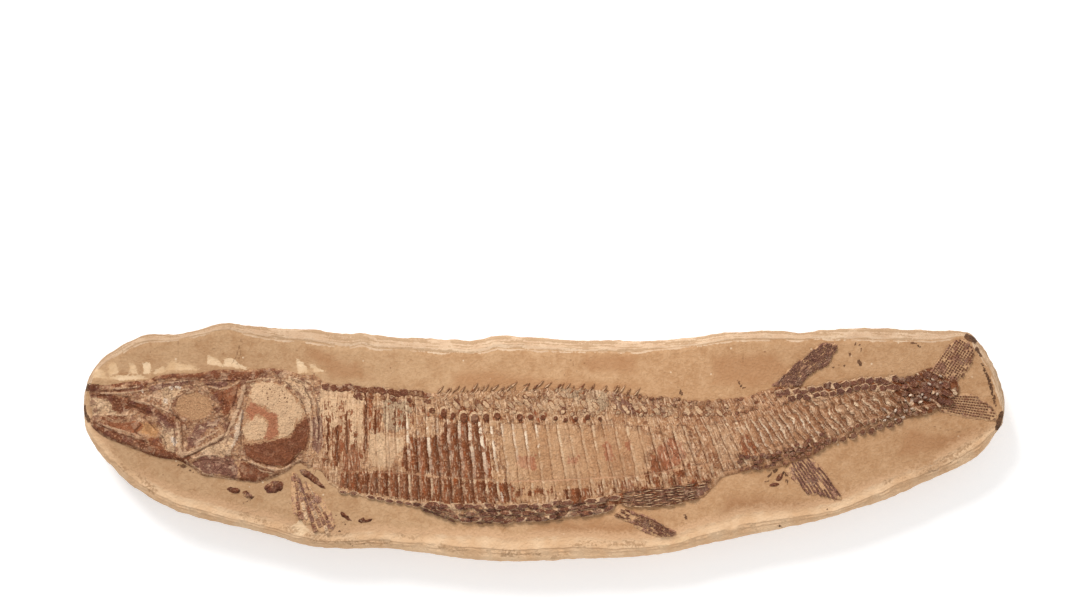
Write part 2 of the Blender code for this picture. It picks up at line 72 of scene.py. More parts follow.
PALE_CHIPS = (
    (0, ((-284, 52), (-278, 52), (-276, 45), (-283, 43))),
    (0, ((-292, 48), (-285, 47), (-284, 41), (-294, 42))),
    (0, ((-284, 43), (-262, 44), (-257, 41.5), (-268, 40.5), (-286, 41))),
    (0, ((-270, 52), (-266, 51), (-264, 44), (-269, 45))),
    (0, ((-261, 51), (-256, 52), (-256, 44), (-260, 45))), (0, ((-254, 46), (-248, 50), (-245, 46), (-253, 44.5))),
    (0, ((-243, 54), (-236, 52), (-228, 50), (-224, 47), (-235, 46.5), (-247, 46.5))),
    (0, ((-219, 57), (-210, 53), (-209, 49), (-219, 51.5))),
    (0, ((-208, 54.5), (-203, 55), (-197, 50), (-190, 47.5), (-208, 49.5))),
    (0, ((-161, 54), (-157, 52), (-152, 46), (-160, 45))), (0, ((-153, 51), (-149, 50), (-142, 46), (-149, 45.5))),
    (0, ((84, -64), (90, -61), (96, -60), (94, -65), (86, -66.5))),
    (0, ((73, -67), (82, -66), (86, -68), (76, -69.5))),
    (0, ((-165, -55), (-158, -50), (-152, -58), (-160, -61))),
)
RUSTY_SHADOWS = (
    (0, ((-155, 58), (-147, 60), (-136, 55), (-122, 51), (-118, 44), (-107, 41), (-138, 41), (-143, 50))),
    (0, ((-60, 44), (-40, 46), (20, 39), (60, 37), (30, 35), (-60, 36))),
    (0, ((26, 56), (60, 57), (58, 46), (30, 46))),
    (0, ((110, 55), (150, 58), (160, 45), (140, 36), (110, 38))),
    (0, ((5, -52), (30, -52), (52, -52), (60, -58), (20, -60), (-8, -58))),
    (0, ((120, -36), (180, -38), (175, -44), (150, -46), (115, -46))),
    (0, ((236, 10), (262, 4), (280, 8), (272, -1), (250, -6), (232, -8))),
    (0, ((-170, 75), (-155, 74), (-138, 71), (-155, 72), (-170, 73))),
    (0, ((-128, 70), (-116, 71), (-104, 68), (-118, 67))),
    (0, ((162, 70), (182, 72), (178, 69), (164, 68))),
)
DARK_SPECKS = (
    (1.6, ((198.5, 58.5), (198.8, 57))), (2.4, ((204.5, 53), (206, 50.5))), (1.2, ((202.5, 65), (202.3, 63))),
    (1.0, ((204.5, 63), (206, 64.3))), (1.0, ((206.3, 61), (206.3, 59.5))), (1.0, ((195, 50), (196, 50))),
    (1.1, ((187, 48.5), (188, 48.5))), (1.0, ((239, 64.7), (240.5, 64.5))), (1.3, ((242, 64), (244.5, 61.7))),
    (1.8, ((91.7, -47.5), (92.3, -48.7))), (1.1, ((126, 40), (128, 37), (130, 35.5))), (0.9, ((152, -54), (154, -55))),
    (1.8, ((285, 51), (287.5, 45), (290, 38), (292, 30), (293.5, 24))), (3.4, ((297.5, 19), (296, 14), (295, 9.5))),
    (4.0, ((275, 68.7), (280, 66.5))), (4.4, ((-297, 35.6), (-290, 35.6))), (1.8, ((281, 61), (284, 56))),
    (2.0, ((-296, 14), (-298, 18), (-299, 24))), (1.2, ((-238, -14.5), (-232, -16.5), (-228, -20))),
    (0.8, ((-236, -14), (-228, -17), (-222, -21))), (0.7, ((-197.5, -39.5), (-193, -38.5), (-188, -35))),
    (1.0, ((88.6, 34), (89.3, 31))), (0.8, ((-15, 36), (-11, 38))), (0.6, ((183, -42), (184, -43.5))),
    (1.0, ((-126, -66.8), (-123, -67))), (1.2, ((-141, -50), (-138, -53))), (1.4, ((-136, -46.5), (-133, -48))),
    (1.0, ((-137, -53.5), (-134.5, -55.5))), (1.3, ((-147, -49), (-143, -50.5))), (0.9, ((-131, -52), (-129, -53))),
    (1.2, ((-143, -56.5), (-140, -58))), (0.8, ((-134, -58), (-131, -57))),
    (1.5, ((149.5, -19), (151.5, -18))), (1.4, ((156, -19.5), (157.5, -22))), (1.1, ((146, -22), (147.5, -20.5))),
    (1.0, ((157.5, -25), (158.5, -27))), (0.9, ((144.5, -25.5), (146, -25))),
)
FINE_CRACKS = (
    (0.5, ((-256.4, 65.5), (-255, 62), (-256, 58))), (0.45, ((-237.8, 66), (-237, 62), (-238.2, 59))),
    (0.6, ((-196.5, 68), (-198.5, 61), (-200, 56), (-203, 51))), (0.45, ((-185, 63), (-183, 58), (-185, 54))),
    (0.4, ((-279, 52), (-275, 55), (-274, 60))), (0.4, ((-220, 60), (-214, 61), (-209, 59))),
    (0.5, ((-27, -60), (-26.8, -57), (-25, -55.2), (-21, -54.4), (-10, -53.4), (0, -52.2), (12, -50.6), (20, -49.5))),
    (0.5, ((57, -44.5), (70, -43.6), (86, -42.3))),
    (0.5, ((-238, 66), (-237.3, 61), (-238, 57))), (0.5, ((-196, 66), (-197, 58), (-200, 50))),
    (0.5, ((-185, 67), (-183, 64))), (0.5, ((130, 60), (129, 53), (131, 49))),
    (0.6, ((245, 17), (252, 11), (262, 8), (275, 6))), (0.5, ((20, 59), (19, 50), (22, 46))),
)
GRIT_BANDS = (
    (3.0, ((-27, -71.5), (-15, -72.5), (-3, -73))), (2.6, ((6, -74), (15, -72.5))), (2.4, ((-67, -67.5), (-50, -70.5))),
    (3.0, ((18, -66), (40, -65.5), (65, -66))), (3.4, ((-196, -46.5), (-178, -53), (-160, -57.5))),
    (4.0, ((-275, -15), (-265, -21), (-254, -31))), (3.0, ((-155, -60), (-140, -61), (-128, -58))),
    (4.0, ((244, -20), (258, -14), (268, -7), (279, 1), (288, 9))), (2.0, ((222, -26), (236, -22))),
    (3.0, ((-150, -63), (-128, -64), (-100, -66))), (2.0, ((-96, -60), (-80, -63))),
)


def lumps(x, y, size, seed, layers=3):
    """Random smooth values of about -1 to 1, with lumps size millimetres across and finer ones on them."""
    total, weight = 0, 1.0
    for layer in range(layers):
        table = np.random.default_rng(seed * 31 + layer).uniform(-1, 1, (199, 199))
        u, v = np.asarray(x) / size + 57.3, np.asarray(y) / size + 71.9
        i, j = np.floor(u).astype(int), np.floor(v).astype(int)
        f, g = u - i, v - j
        f, g = f * f * (3 - 2 * f), g * g * (3 - 2 * g)
        i0, i1, j0, j1 = i % 199, (i + 1) % 199, j % 199, (j + 1) % 199
        low = table[i0, j0] * (1 - f) + table[i1, j0] * f
        high = table[i0, j1] * (1 - f) + table[i1, j1] * f
        total = total + weight * (low * (1 - g) + high * g)
        weight, size = weight * 0.55, size * 0.47
    return total / 1.4


def ramp(low, high, value):
    """0 below low, 1 above high, and smooth between them."""
    t = np.clip((value - low) / (high - low), 0, 1)
    return t * t * (3 - 2 * t)


def closed_curve(points, step):
    """A smooth closed curve through the points, evenly spaced and running anticlockwise seen from above."""
    points = np.array(points, float)
    p0, p1, p2, p3 = (np.roll(points, k, axis=0)[:, None, :] for k in (1, 0, -1, -2))
    t = np.linspace(0, 1, 24, endpoint=False)[None, :, None]
    curve = 0.5 * (2 * p1 + (p2 - p0) * t + (2 * p0 - 5 * p1 + 4 * p2 - p3) * t**2 + (3 * p1 - p0 - 3 * p2 + p3) * t**3)
    return evenly(curve.reshape(-1, points.shape[1]), step)


def evenly(loop, step):
    """A closed outline with its points a step apart, running anticlockwise."""
    x, y = loop[:, 0], loop[:, 1]
    if np.sum(x * np.roll(y, -1) - np.roll(x, -1) * y) < 0:
        loop = loop[::-1]
    closed = np.vstack([loop, loop[:1]])
    length = np.concatenate([[0], np.cumsum(np.linalg.norm(np.diff(closed[:, :2], axis=0), axis=1))])
    wanted = np.linspace(0, length[-1], int(length[-1] / step), endpoint=False)
    return np.column_stack([np.interp(wanted, length, closed[:, k]) for k in range(loop.shape[1])])


def ragged(loop, size, reach, seed):
    """An outline broken by small bites and bumps."""
    return loop + np.column_stack(
        [reach * lumps(loop[:, 0], loop[:, 1], size, seed + k) for k in range(2)]
    )


def outwards(loop):
    """The direction that points out of an anticlockwise outline, at each of its points."""
    ahead = np.roll(loop, -3, axis=0) - np.roll(loop, 3, axis=0)
    return np.column_stack([ahead[:, 1], -ahead[:, 0]]) / np.linalg.norm(ahead, axis=1)[:, None]


def rounder(loop, reach, step):
    """A closed outline with every bend smaller than reach worn away."""
    waves = np.fft.fftfreq(len(loop), d=step)
    return np.fft.ifft(np.fft.fft(loop, axis=0) * np.exp(-2 * (np.pi * waves * reach) ** 2)[:, None], axis=0).real


def filled(loop, step):
    """Points and faces that fill an outline, and each point's distance to it. The outline's own points come first."""
    low, high = loop.min(axis=0) + 0.31 * step, loop.max(axis=0)
    xs, ys = np.arange(low[0], high[0], step), np.arange(low[1], high[1], step)
    a, b = loop, np.roll(loop, -1, axis=0)
    kept = np.zeros((len(ys), len(xs)), bool)
    for row, y in enumerate(ys):
        hit = (a[:, 1] > y) != (b[:, 1] > y)
        cuts = a[hit, 0] + (y - a[hit, 1]) * (b[hit, 0] - a[hit, 0]) / (b[hit, 1] - a[hit, 1])
        kept[row] = np.searchsorted(np.sort(cuts), xs) % 2 == 1
    edge = KDTree(len(loop))
    for k, (x, y) in enumerate(loop):
        edge.insert((x, y, 0), k)
    edge.balance()
    away = np.zeros(kept.shape)
    for row, column in np.argwhere(kept):
        away[row, column] = edge.find((xs[column], ys[row], 0))[2]
    kept &= away > 0.6 * step
    cell = kept[:-1, :-1] & kept[1:, :-1] & kept[:-1, 1:] & kept[1:, 1:]
    number = np.full(kept.shape, -1)
    number[kept] = len(loop) + np.arange(kept.sum())
    rows, columns = np.nonzero(kept)
    points = np.vstack([loop, np.column_stack([xs[columns], ys[rows]])])
    r, c = np.nonzero(cell)
    quads = np.column_stack([number[r, c], number[r, c + 1], number[r + 1, c + 1], number[r + 1, c]])
    edges = [(k, (k + 1) % len(loop)) for k in range(len(loop))]
    padded = np.pad(cell, 1)
    side = padded[1:-1, :-1] != padded[1:-1, 1:]
    edges += [(number[r, c], number[r + 1, c]) for r, c in np.argwhere(side)]
    side = padded[:-1, 1:-1] != padded[1:, 1:-1]
    edges += [(number[r, c], number[r, c + 1]) for r, c in np.argwhere(side)]
    full = padded[:-1, :-1] & padded[1:, :-1] & padded[:-1, 1:] & padded[1:, 1:]
    band = np.concatenate([np.arange(len(loop)), number[kept & ~full]])
    local = {n: k for k, n in enumerate(band)}
    made, _, faces, origin, _, _ = delaunay_2d_cdt(
        [tuple(p) for p in points[band]], [(local[m], local[n]) for m, n in edges], [], 1, 1e-6
    )
    band_of = [band[o[0]] if o else -1 for o in origin]
    triangles = []
    for face in faces:
        corners = [band_of[k] for k in face]
        x, y = points[corners].mean(axis=0)
        r, c = int((y - ys[0]) // step), int((x - xs[0]) // step)
        in_cell = 0 <= r < cell.shape[0] and 0 <= c < cell.shape[1] and cell[r, c]
        if min(corners) >= 0 and not in_cell:
            triangles.append(tuple(corners))
    distance = np.concatenate([np.zeros(len(loop)), away[kept]])
    return points, quads.tolist() + triangles, distance


def flat_fill(loop):
    """Triangles that close an outline without any points inside it."""
    edges = [(k, (k + 1) % len(loop)) for k in range(len(loop))]
    _, _, faces, origin, _, _ = delaunay_2d_cdt([tuple(p) for p in loop[:, :2]], edges, [], 1, 1e-6)
    return [tuple(origin[k][0] for k in face) for face in faces]


def shape_field(x, y, shapes, soft):
    """0.5 on the edge of any of the shapes, rising to 1 inside it and falling to 0 outside, over soft millimetres."""
    field = np.zeros(len(x))
    for width, corners in shapes:
        corners = np.array(corners, float)
        reach = soft + width
        near = (x > corners[:, 0].min() - reach) & (x < corners[:, 0].max() + reach)
        near &= (y > corners[:, 1].min() - reach) & (y < corners[:, 1].max() + reach)
        if not near.any():
            continue
        px, py = x[near], y[near]
        distance = np.full(len(px), 1e9)
        crossed = np.zeros(len(px), bool)
        ends = np.roll(corners, -1, axis=0) if width == 0 else corners[1:]
        for (ax, ay), (bx, by) in zip(corners, ends):
            span = (bx - ax) ** 2 + (by - ay) ** 2 + 1e-9
            t = np.clip(((px - ax) * (bx - ax) + (py - ay) * (by - ay)) / span, 0, 1)
            distance = np.minimum(distance, np.hypot(px - ax - t * (bx - ax), py - ay - t * (by - ay)))
            if width == 0 and ay != by:
                crossed ^= ((ay > py) != (by > py)) & (px < (bx - ax) * (py - ay) / (by - ay) + ax)
        inner = np.where(crossed, distance, -distance) if width == 0 else width / 2 - distance
        field[near] = np.maximum(field[near], np.clip(0.5 + inner / (2 * soft), 0, 1))
    return field


def mesh_object(name, points, faces, finish, values=None, sharp=60):
    """An object in metres from points in millimetres, with a value for each point where values gives one."""
    mesh = bpy.data.meshes.new(name)
    mesh.from_pydata((np.asarray(points) * MM).tolist(), [], faces)
    for label, numbers in (values or {}).items():
        layer = mesh.attributes.new(label, "FLOAT", "POINT")
        layer.data.foreach_set("value", np.asarray(numbers, np.float32))
    mesh.shade_smooth()
    mesh.set_sharp_from_angle(angle=np.radians(sharp))
    mesh.materials.append(finish)
    made = bpy.data.objects.new(name, mesh)
    bpy.context.collection.objects.link(made)
    return made


def srgb(red, green, blue):
    """A colour given from 0 to 255, as Blender's linear values."""
    values = np.array([red, green, blue]) / 255
    return (*np.where(values <= 0.04045, values / 12.92, ((values + 0.055) / 1.055) ** 2.4), 1.0)


def shader_group(name, inputs, outputs):
    """An empty group of shader nodes with its sockets."""
    group = bpy.data.node_groups.new(name, "ShaderNodeTree")
    for label, value in inputs:
        group.interface.new_socket(label, in_out="INPUT", socket_type="NodeSocketFloat").default_value = value
    for label in outputs:
        group.interface.new_socket(label, in_out="OUTPUT", socket_type="NodeSocketFloat")
    return group, group.nodes.new("NodeGroupInput"), group.nodes.new("NodeGroupOutput")


def put(tree, kind, sockets=None, **settings):
    """A new node with its settings, and with values or links for its input sockets."""
    node = tree.nodes.new(kind)
    for label, value in settings.items():
        setattr(node, label, value)
    for label, value in (sockets or {}).items():
        socket = node.inputs[label]
        if isinstance(value, bpy.types.NodeSocket):
            tree.links.new(value, socket)
        else:
            socket.default_value = value
    return node


def sum_of(tree, first, second, how="ADD", limit=False):
    """The output of a Math node on two values or sockets."""
    return put(tree, "ShaderNodeMath", {0: first, 1: second}, operation=how, use_clamp=limit).outputs[0]


def mixed(tree, share, first, second, how="MIX"):
    """The output of a colour Mix node."""
    node = put(tree, "ShaderNodeMix", data_type="RGBA", blend_type=how)
    for socket, value in ((node.inputs[0], share), (node.inputs[6], first), (node.inputs[7], second)):
        if isinstance(value, bpy.types.NodeSocket):
            tree.links.new(value, socket)
        else:
            socket.default_value = value
    return node.outputs[2]


def spread(tree, value, low, high, to_low=0.0, to_high=1.0):
    """A value stretched from one range to another."""
    sockets = {0: value, 1: low, 2: high, 3: to_low, 4: to_high}
    return put(tree, "ShaderNodeMapRange", sockets, interpolation_type="SMOOTHSTEP").outputs[0]


grain_group, grain_in, grain_out = shader_group(
    "petrified_grain", (("Fine Size", 0.0009), ("Broad Size", 0.005), ("Flake Size", 0.002)),
    ("Fine", "Broad", "Ragged", "Flakes", "Cracks"),
)
coordinates = put(grain_group, "ShaderNodeTexCoord").outputs["Object"]
fine_scale = sum_of(grain_group, 1.0, grain_in.outputs["Fine Size"], "DIVIDE")
broad_scale = sum_of(grain_group, 1.0, grain_in.outputs["Broad Size"], "DIVIDE")
flake_scale = sum_of(grain_group, 1.0, grain_in.outputs["Flake Size"], "DIVIDE")
fine_noise = put(
    grain_group, "ShaderNodeTexNoise", {"Vector": coordinates, "Scale": fine_scale, "Detail": 2.5, "Roughness": 0.6}
).outputs["Fac"]
broad_node = put(
    grain_group, "ShaderNodeTexNoise", {"Vector": coordinates, "Scale": broad_scale, "Detail": 4.0, "Roughness": 0.6}
)
broad_noise = broad_node.outputs["Fac"]
bend = put(grain_group, "ShaderNodeVectorMath", {0: broad_node.outputs["Color"], 1: (0.5, 0.5, 0.5)}, operation="SUBTRACT")
bend_size = sum_of(grain_group, grain_in.outputs["Flake Size"], 2.4, "MULTIPLY")
bend = put(grain_group, "ShaderNodeVectorMath", {0: bend.outputs[0], "Scale": bend_size}, operation="SCALE")
bent = put(grain_group, "ShaderNodeVectorMath", {0: coordinates, 1: bend.outputs[0]}, operation="ADD").outputs[0]
flakes = put(grain_group, "ShaderNodeTexVoronoi", {"Vector": bent, "Scale": flake_scale}).outputs["Color"]
flakes = put(grain_group, "ShaderNodeSeparateColor", {0: flakes}).outputs[0]
flake_edges = put(
    grain_group, "ShaderNodeTexVoronoi", {"Vector": bent, "Scale": flake_scale}, feature="DISTANCE_TO_EDGE"
).outputs["Distance"]
cracks = sum_of(
    grain_group, spread(grain_group, flake_edges, 0.01, 0.09, 1.0, 0.0), spread(grain_group, broad_noise, 0.4, 0.6),
    "MULTIPLY",
)
grain_group.links.new(spread(grain_group, fine_noise, 0.34, 0.66), grain_out.inputs["Fine"])
grain_group.links.new(spread(grain_group, broad_noise, 0.3, 0.7), grain_out.inputs["Broad"])
uneven = sum_of(grain_group, sum_of(grain_group, fine_noise, broad_noise), 1.0, "SUBTRACT")
uneven = sum_of(grain_group, uneven, sum_of(grain_group, sum_of(grain_group, flakes, 0.5, "SUBTRACT"), 0.22, "MULTIPLY"))
grain_group.links.new(uneven, grain_out.inputs["Ragged"])
grain_group.links.new(flakes, grain_out.inputs["Flakes"])
grain_group.links.new(cracks, grain_out.inputs["Cracks"])

edge_group, edge_in, edge_out = shader_group(
    "ragged_edge", (("Field", 0.0), ("Ragged", 0.0), ("Bite", 0.8), ("Softness", 0.08)), ("Mask",)
)
bitten = sum_of(edge_group, edge_in.outputs["Ragged"], edge_in.outputs["Bite"], "MULTIPLY")
bitten = sum_of(edge_group, edge_in.outputs["Field"], bitten)
edge_low = sum_of(edge_group, 0.5, edge_in.outputs["Softness"], "SUBTRACT")
edge_high = sum_of(edge_group, 0.5, edge_in.outputs["Softness"])
inside = spread(edge_group, edge_in.outputs["Field"], 0.0, 0.2)
edge_mask = sum_of(edge_group, spread(edge_group, bitten, edge_low, edge_high), inside, "MULTIPLY")
edge_group.links.new(edge_mask, edge_out.inputs["Mask"])


def ragged_mask(tree, label, raggedness, bite=0.8, softness=0.08):
    """The mask of one of the mesh's named values, with a natural uneven edge."""
    field = put(tree, "ShaderNodeAttribute", attribute_name=label).outputs["Fac"]
    node = put(tree, "ShaderNodeGroup", node_tree=edge_group)
    tree.links.new(field, node.inputs["Field"])
    tree.links.new(raggedness, node.inputs["Ragged"])
    node.inputs["Bite"].default_value = bite
    node.inputs["Softness"].default_value = softness
    return node.outputs["Mask"]


def new_finish(name, roughness, slot_colour):
    """A material with its Principled shader, and grain to work from."""
    finish = bpy.data.materials.new(name)
    finish.use_nodes = True
    finish.diffuse_color = slot_colour
    tree = finish.node_tree
    shader = tree.nodes["Principled BSDF"]
    shader.inputs["Roughness"].default_value = roughness
    shader.inputs["Specular IOR Level"].default_value = 0.12
    grain = put(tree, "ShaderNodeGroup", node_tree=grain_group)
    return finish, tree, shader, grain


def roughen(tree, shader, height, depth):
    """Fine relief on a finish, depth metres from its lowest to its highest."""
    bump = put(tree, "ShaderNodeBump", {"Height": height, "Distance": depth, "Strength": 1.0})
    tree.links.new(bump.outputs["Normal"], shader.inputs["Normal"])


limestone, tree, shader, grain = new_finish("limestone", 0.9, srgb(199, 163, 125))
fine, broad, uneven = (grain.outputs[k] for k in ("Fine", "Broad", "Ragged"))
grain.inputs["Fine Size"].default_value = 0.0016
grain.inputs["Broad Size"].default_value = 0.016
warm = put(tree, "ShaderNodeAttribute", attribute_name="warm").outputs["Fac"]
colour = mixed(tree, warm, srgb(203, 163, 123), srgb(196, 151, 110))
colour = mixed(tree, spread(tree, broad, 0.1, 0.9, 0.0, 0.42), colour, srgb(180, 133, 92))
colour = mixed(tree, spread(tree, fine, 0.2, 1.0, 0.0, 0.14), colour, srgb(228, 190, 152))
colour = mixed(tree, spread(tree, fine, 0.3, 0.0, 0.0, 0.14), colour, srgb(160, 116, 78))
place = put(tree, "ShaderNodeTexCoord").outputs["Object"]
mottle = put(tree, "ShaderNodeTexNoise", {"Vector": place, "Scale": 170.0, "Detail": 4.0, "Roughness": 0.7}).outputs["Fac"]
colour = mixed(tree, spread(tree, mottle, 0.5, 0.66, 0.0, 0.24), colour, srgb(226, 186, 146))
colour = mixed(tree, spread(tree, mottle, 0.48, 0.34, 0.0, 0.3), colour, srgb(166, 118, 78))
dots = put(tree, "ShaderNodeTexVoronoi", {"Vector": place, "Scale": 230.0})
dot_chance = put(tree, "ShaderNodeSeparateColor", {0: dots.outputs["Color"]}).outputs[0]
dot = spread(tree, dots.outputs["Distance"], 0.2, 0.1)
pale_dots = sum_of(tree, dot, spread(tree, dot_chance, 0.93, 0.94, 0.0, 0.6), "MULTIPLY")
colour = mixed(tree, pale_dots, colour, srgb(248, 222, 190))
pits = sum_of(tree, dot, spread(tree, dot_chance, 0.07, 0.06, 0.0, 0.5), "MULTIPLY")
colour = mixed(tree, pits, colour, srgb(126, 86, 56))
rust_shadow = ragged_mask(tree, "shadow", uneven, 0.5, 0.3)
colour = mixed(tree, sum_of(tree, rust_shadow, 0.55, "MULTIPLY"), colour, srgb(176, 124, 84))
# The lower side and its rim are painted paler: partly the stone's own pale rind, partly painted light that makes up for
# the shade on faces turned from the lamps.
peach = ragged_mask(tree, "peach", uneven, 0.8, 0.35)
colour = mixed(tree, sum_of(tree, peach, 0.8, "MULTIPLY"), colour, srgb(222, 178, 138))
worn_and_lit_rim = ragged_mask(tree, "worn_and_lit_rim", uneven, 0.9, 0.4)
rim_colour = mixed(tree, broad, srgb(216, 174, 132), srgb(244, 212, 174))
colour = mixed(tree, sum_of(tree, worn_and_lit_rim, 0.6, "MULTIPLY"), colour, rim_colour)
pale = ragged_mask(tree, "ledge", uneven, 0.5, 0.06)
pale_colour = mixed(tree, broad, srgb(212, 177, 144), srgb(230, 200, 168))
colour = mixed(tree, sum_of(tree, pale, 0.92, "MULTIPLY"), colour, pale_colour)
lamina = ragged_mask(tree, "lamina", uneven, 0.9, 0.18)
colour = mixed(tree, sum_of(tree, lamina, 0.62, "MULTIPLY"), colour, srgb(176, 138, 100))
skin = ragged_mask(tree, "skin", uneven, 0.6, 0.2)
skin_colour = mixed(tree, broad, srgb(170, 130, 92), srgb(206, 168, 128))
colour = mixed(tree, skin, colour, skin_colour)
chips = ragged_mask(tree, "chip", uneven, 1.1, 0.08)
chip_colour = mixed(tree, broad, srgb(214, 176, 134), srgb(246, 216, 178))
colour = mixed(tree, sum_of(tree, chips, 0.8, "MULTIPLY"), colour, chip_colour)
grit = ragged_mask(tree, "grit", uneven, 2.2, 0.4)
colour = mixed(tree, sum_of(tree, grit, 0.6, "MULTIPLY"), colour, srgb(150, 106, 68))
specks = sum_of(tree, ragged_mask(tree, "speck", uneven, 1.3, 0.1), 0.92, "MULTIPLY")
colour = mixed(tree, specks, colour, mixed(tree, fine, srgb(50, 32, 24), srgb(112, 76, 54)))
crack = ragged_mask(tree, "crack", uneven, 0.4, 0.1)
colour = mixed(tree, sum_of(tree, crack, 0.6, "MULTIPLY"), colour, srgb(120, 84, 56))
# Painted shade: the stone's colour darkened by its named value.
painted_dim = put(tree, "ShaderNodeAttribute", attribute_name="painted_dim").outputs["Fac"]
colour = mixed(tree, painted_dim, colour, srgb(92, 70, 50), "MULTIPLY")
tree.links.new(colour, shader.inputs["Base Color"])
roughen(tree, shader, sum_of(tree, fine, sum_of(tree, broad, 0.8, "MULTIPLY")), 0.00022)


def face_height(x, y):
    """Height of the split face, which swells gently."""
    swell = 0.35 * np.sin(x / 43 + y / 29) * np.cos(y / 23 - x / 67)
    return FACE + swell + 0.12 * lumps(x, y, 14, 3)


sunk_beds = []


def sunk(x, y):
    """How deep the stone lies under the fossil pieces, so that it never shows through them."""
    depth = np.zeros(len(x))
    for loop in sunk_beds:
        inner = shape_field(x, y, ((0, loop),), 3.0)
        depth = np.maximum(depth, 2.6 * ramp(0.72, 0.95, inner))
    return depth


# The outlines of the fossil pieces that lie bedded in the face: the stone is sunk under each of them.
SKULL_OUTLINE = (
    (-295.5, 32), (-296, 36.5), (-293, 38), (-288, 37.2), (-280, 37.8), (-270, 39.5), (-262, 40), (-257, 40.8),
    (-252, 43), (-246, 44.4), (-236, 44.9), (-226, 45), (-219, 46), (-212, 47.5), (-205, 47.3), (-195, 46.8),
    (-186, 47.8), (-178, 48.3), (-170, 47.8), (-163, 45.5), (-157, 44), (-151, 43.8), (-146, 42), (-143.5, 38),
    (-143, 28), (-144.5, 15), (-144.5, 2), (-147, -8), (-150, -15), (-154, -16.5), (-158, -13.5), (-162, -14.5),
    (-167, -18.5), (-173, -21.5), (-180, -24.5), (-188, -26), (-197, -25), (-206, -23.5), (-215, -22.5),
    (-223, -21), (-227, -17.5), (-233, -14), (-238, -11.5), (-246, -10.5), (-255, -8.5), (-263, -5.5), (-272, -2),
    (-282, 2), (-290, 6.5), (-294, 10.5), (-295, 14), (-293.5, 17.5), (-293.5, 20), (-295, 25), (-295.5, 30),
)
BACK_EDGE = (
    (-150, 41.5), (-143, 39), (-130, 36.5), (-112, 35), (-95, 33.5), (-75, 31.8), (-55, 33), (-25, 33.5), (5, 35.5),
    (35, 34.5), (55, 31.5), (65, 29), (80, 29.5), (90, 26.8), (106, 27), (120, 28.3), (132, 29.5), (140, 32.5),
    (150, 36), (180, 36), (197, 40.5), (210, 42.5), (225, 41.5), (238, 42),
)
BELLY_EDGE = (
    (-150, -15.5), (-144, -19.5), (-140, -26), (-130, -33), (-112, -36.5), (-95, -39.5), (-80, -42.5), (-70, -45.5),
    (-57, -51), (-45, -52.5), (-25, -52), (5, -50), (30, -46.8), (43, -44), (49, -39.5), (57, -41), (75, -41.3),
    (90, -39), (104, -35.5), (110, -29), (116, -22.5), (135, -17.5), (150, -17), (160, -14), (172, -10), (183, -2.5),
    (195, 2.5), (210, 7.5), (225, 11.5), (233, 15.5),
)
TAIL_ROOT = (
    (245, 46.5), (252, 48.5), (258, 46.5), (263, 44.5), (268, 41), (269.5, 37), (268.5, 32), (264, 28.5), (262, 25),
    (256, 22.5), (250, 18.8), (243, 17),
)
BACK_FIN = (
    (149, 36.5), (152, 40), (155, 42.5), (160, 48.5), (167, 53.7), (171, 56), (175, 60.5), (180, 64), (189, 65),
    (190.5, 62), (187, 55), (184, 50), (178, 47), (172, 43.5), (169, 40), (166, 36.5),
)
VENT_FIN = (
    (172, -9), (178, -14), (182, -18), (185, -23), (188, -29), (192.5, -33.5), (193, -37), (187, -36.5),
    (180, -34), (173, -34), (166, -28), (161, -24), (157, -18), (160, -13),
)
UPPER_TAIL_LOBE = (
    (250, 45), (253, 49.5), (259, 57), (264, 63.5), (267.5, 66.5), (274, 67), (279, 61.5), (279, 56), (277, 49),
    (272, 43), (268, 39), (262, 40),
)
LOWER_TAIL_LOBE = (
    (258, 27), (266, 31), (273, 32), (279, 31), (285, 28), (291, 22.5), (294, 18.5), (292.5, 14.2), (282, 14.7),
    (273, 16.2), (262, 18.5), (256, 21),
)
BREAST_FIN = (
    (-164, -20.5), (-160.5, -21), (-157.3, -26.5), (-152.5, -27.3), (-150, -31.5), (-144, -37), (-139, -45),
    (-136, -52), (-138, -57.5), (-147, -58), (-151, -53.5), (-156, -53), (-159, -48), (-163, -46), (-164.5, -33),
)
PELVIC_FIN = (
    (46, -45.5), (50, -42), (56, -43.8), (61, -46), (68, -48), (74, -51.5), (79, -55), (86, -58), (84, -61),
    (78, -61.5), (70, -60), (62, -57), (57, -53), (51, -50.5), (47, -48),
)
SHOULDER_BONE = (
    (-159, -18), (-155, -17.8), (-149, -21.5), (-144.5, -26.5), (-142, -30), (-146, -28.5), (-152, -24.5), (-157, -21),
)
LOOSE_BONES = {
    "throat_bone_1": ((-206, -30), (-204, -28.8), (-199, -29.8), (-197, -31), (-199, -32.8), (-204, -32.2)),
    "throat_bone_2": ((-196, -32.2), (-193.5, -31.6), (-190, -34.2), (-189.5, -35.6), (-193, -36), (-195.5, -34.6)),
    "throat_bone_3": (
        (-182, -29), (-178, -26), (-175, -25), (-170.5, -25.5), (-169.5, -28.5), (-171, -31.5), (-175, -32.6),
        (-180, -32.6),
    ),
    "chest_bone_1": ((-132, -45.5), (-129.5, -45.8), (-125.8, -49.6), (-125.5, -51.2), (-128.5, -50), (-131.5, -47.5)),
    "chest_bone_2": ((-121, -51), (-118, -48.9), (-116.5, -50), (-111.8, -49.4), (-113.5, -51.4), (-118.5, -52.2)),
    "vent_bone_1": ((151, -24.5), (151.6, -22), (153.5, -20.2), (155.4, -20.6), (155, -23), (153, -25.2)),
    "vent_bone_2": ((146.8, -27.6), (149, -26.4), (152, -26.4), (152.6, -27.6), (150, -28.8), (147.4, -28.6)),
}


def edge_of_table(table, low, high):
    """The points of a table between two places, with its values read between them."""
    xs = np.arange(low, high, 2.0)
    return np.column_stack([xs, np.interp(xs, *np.array(table, float).T)])


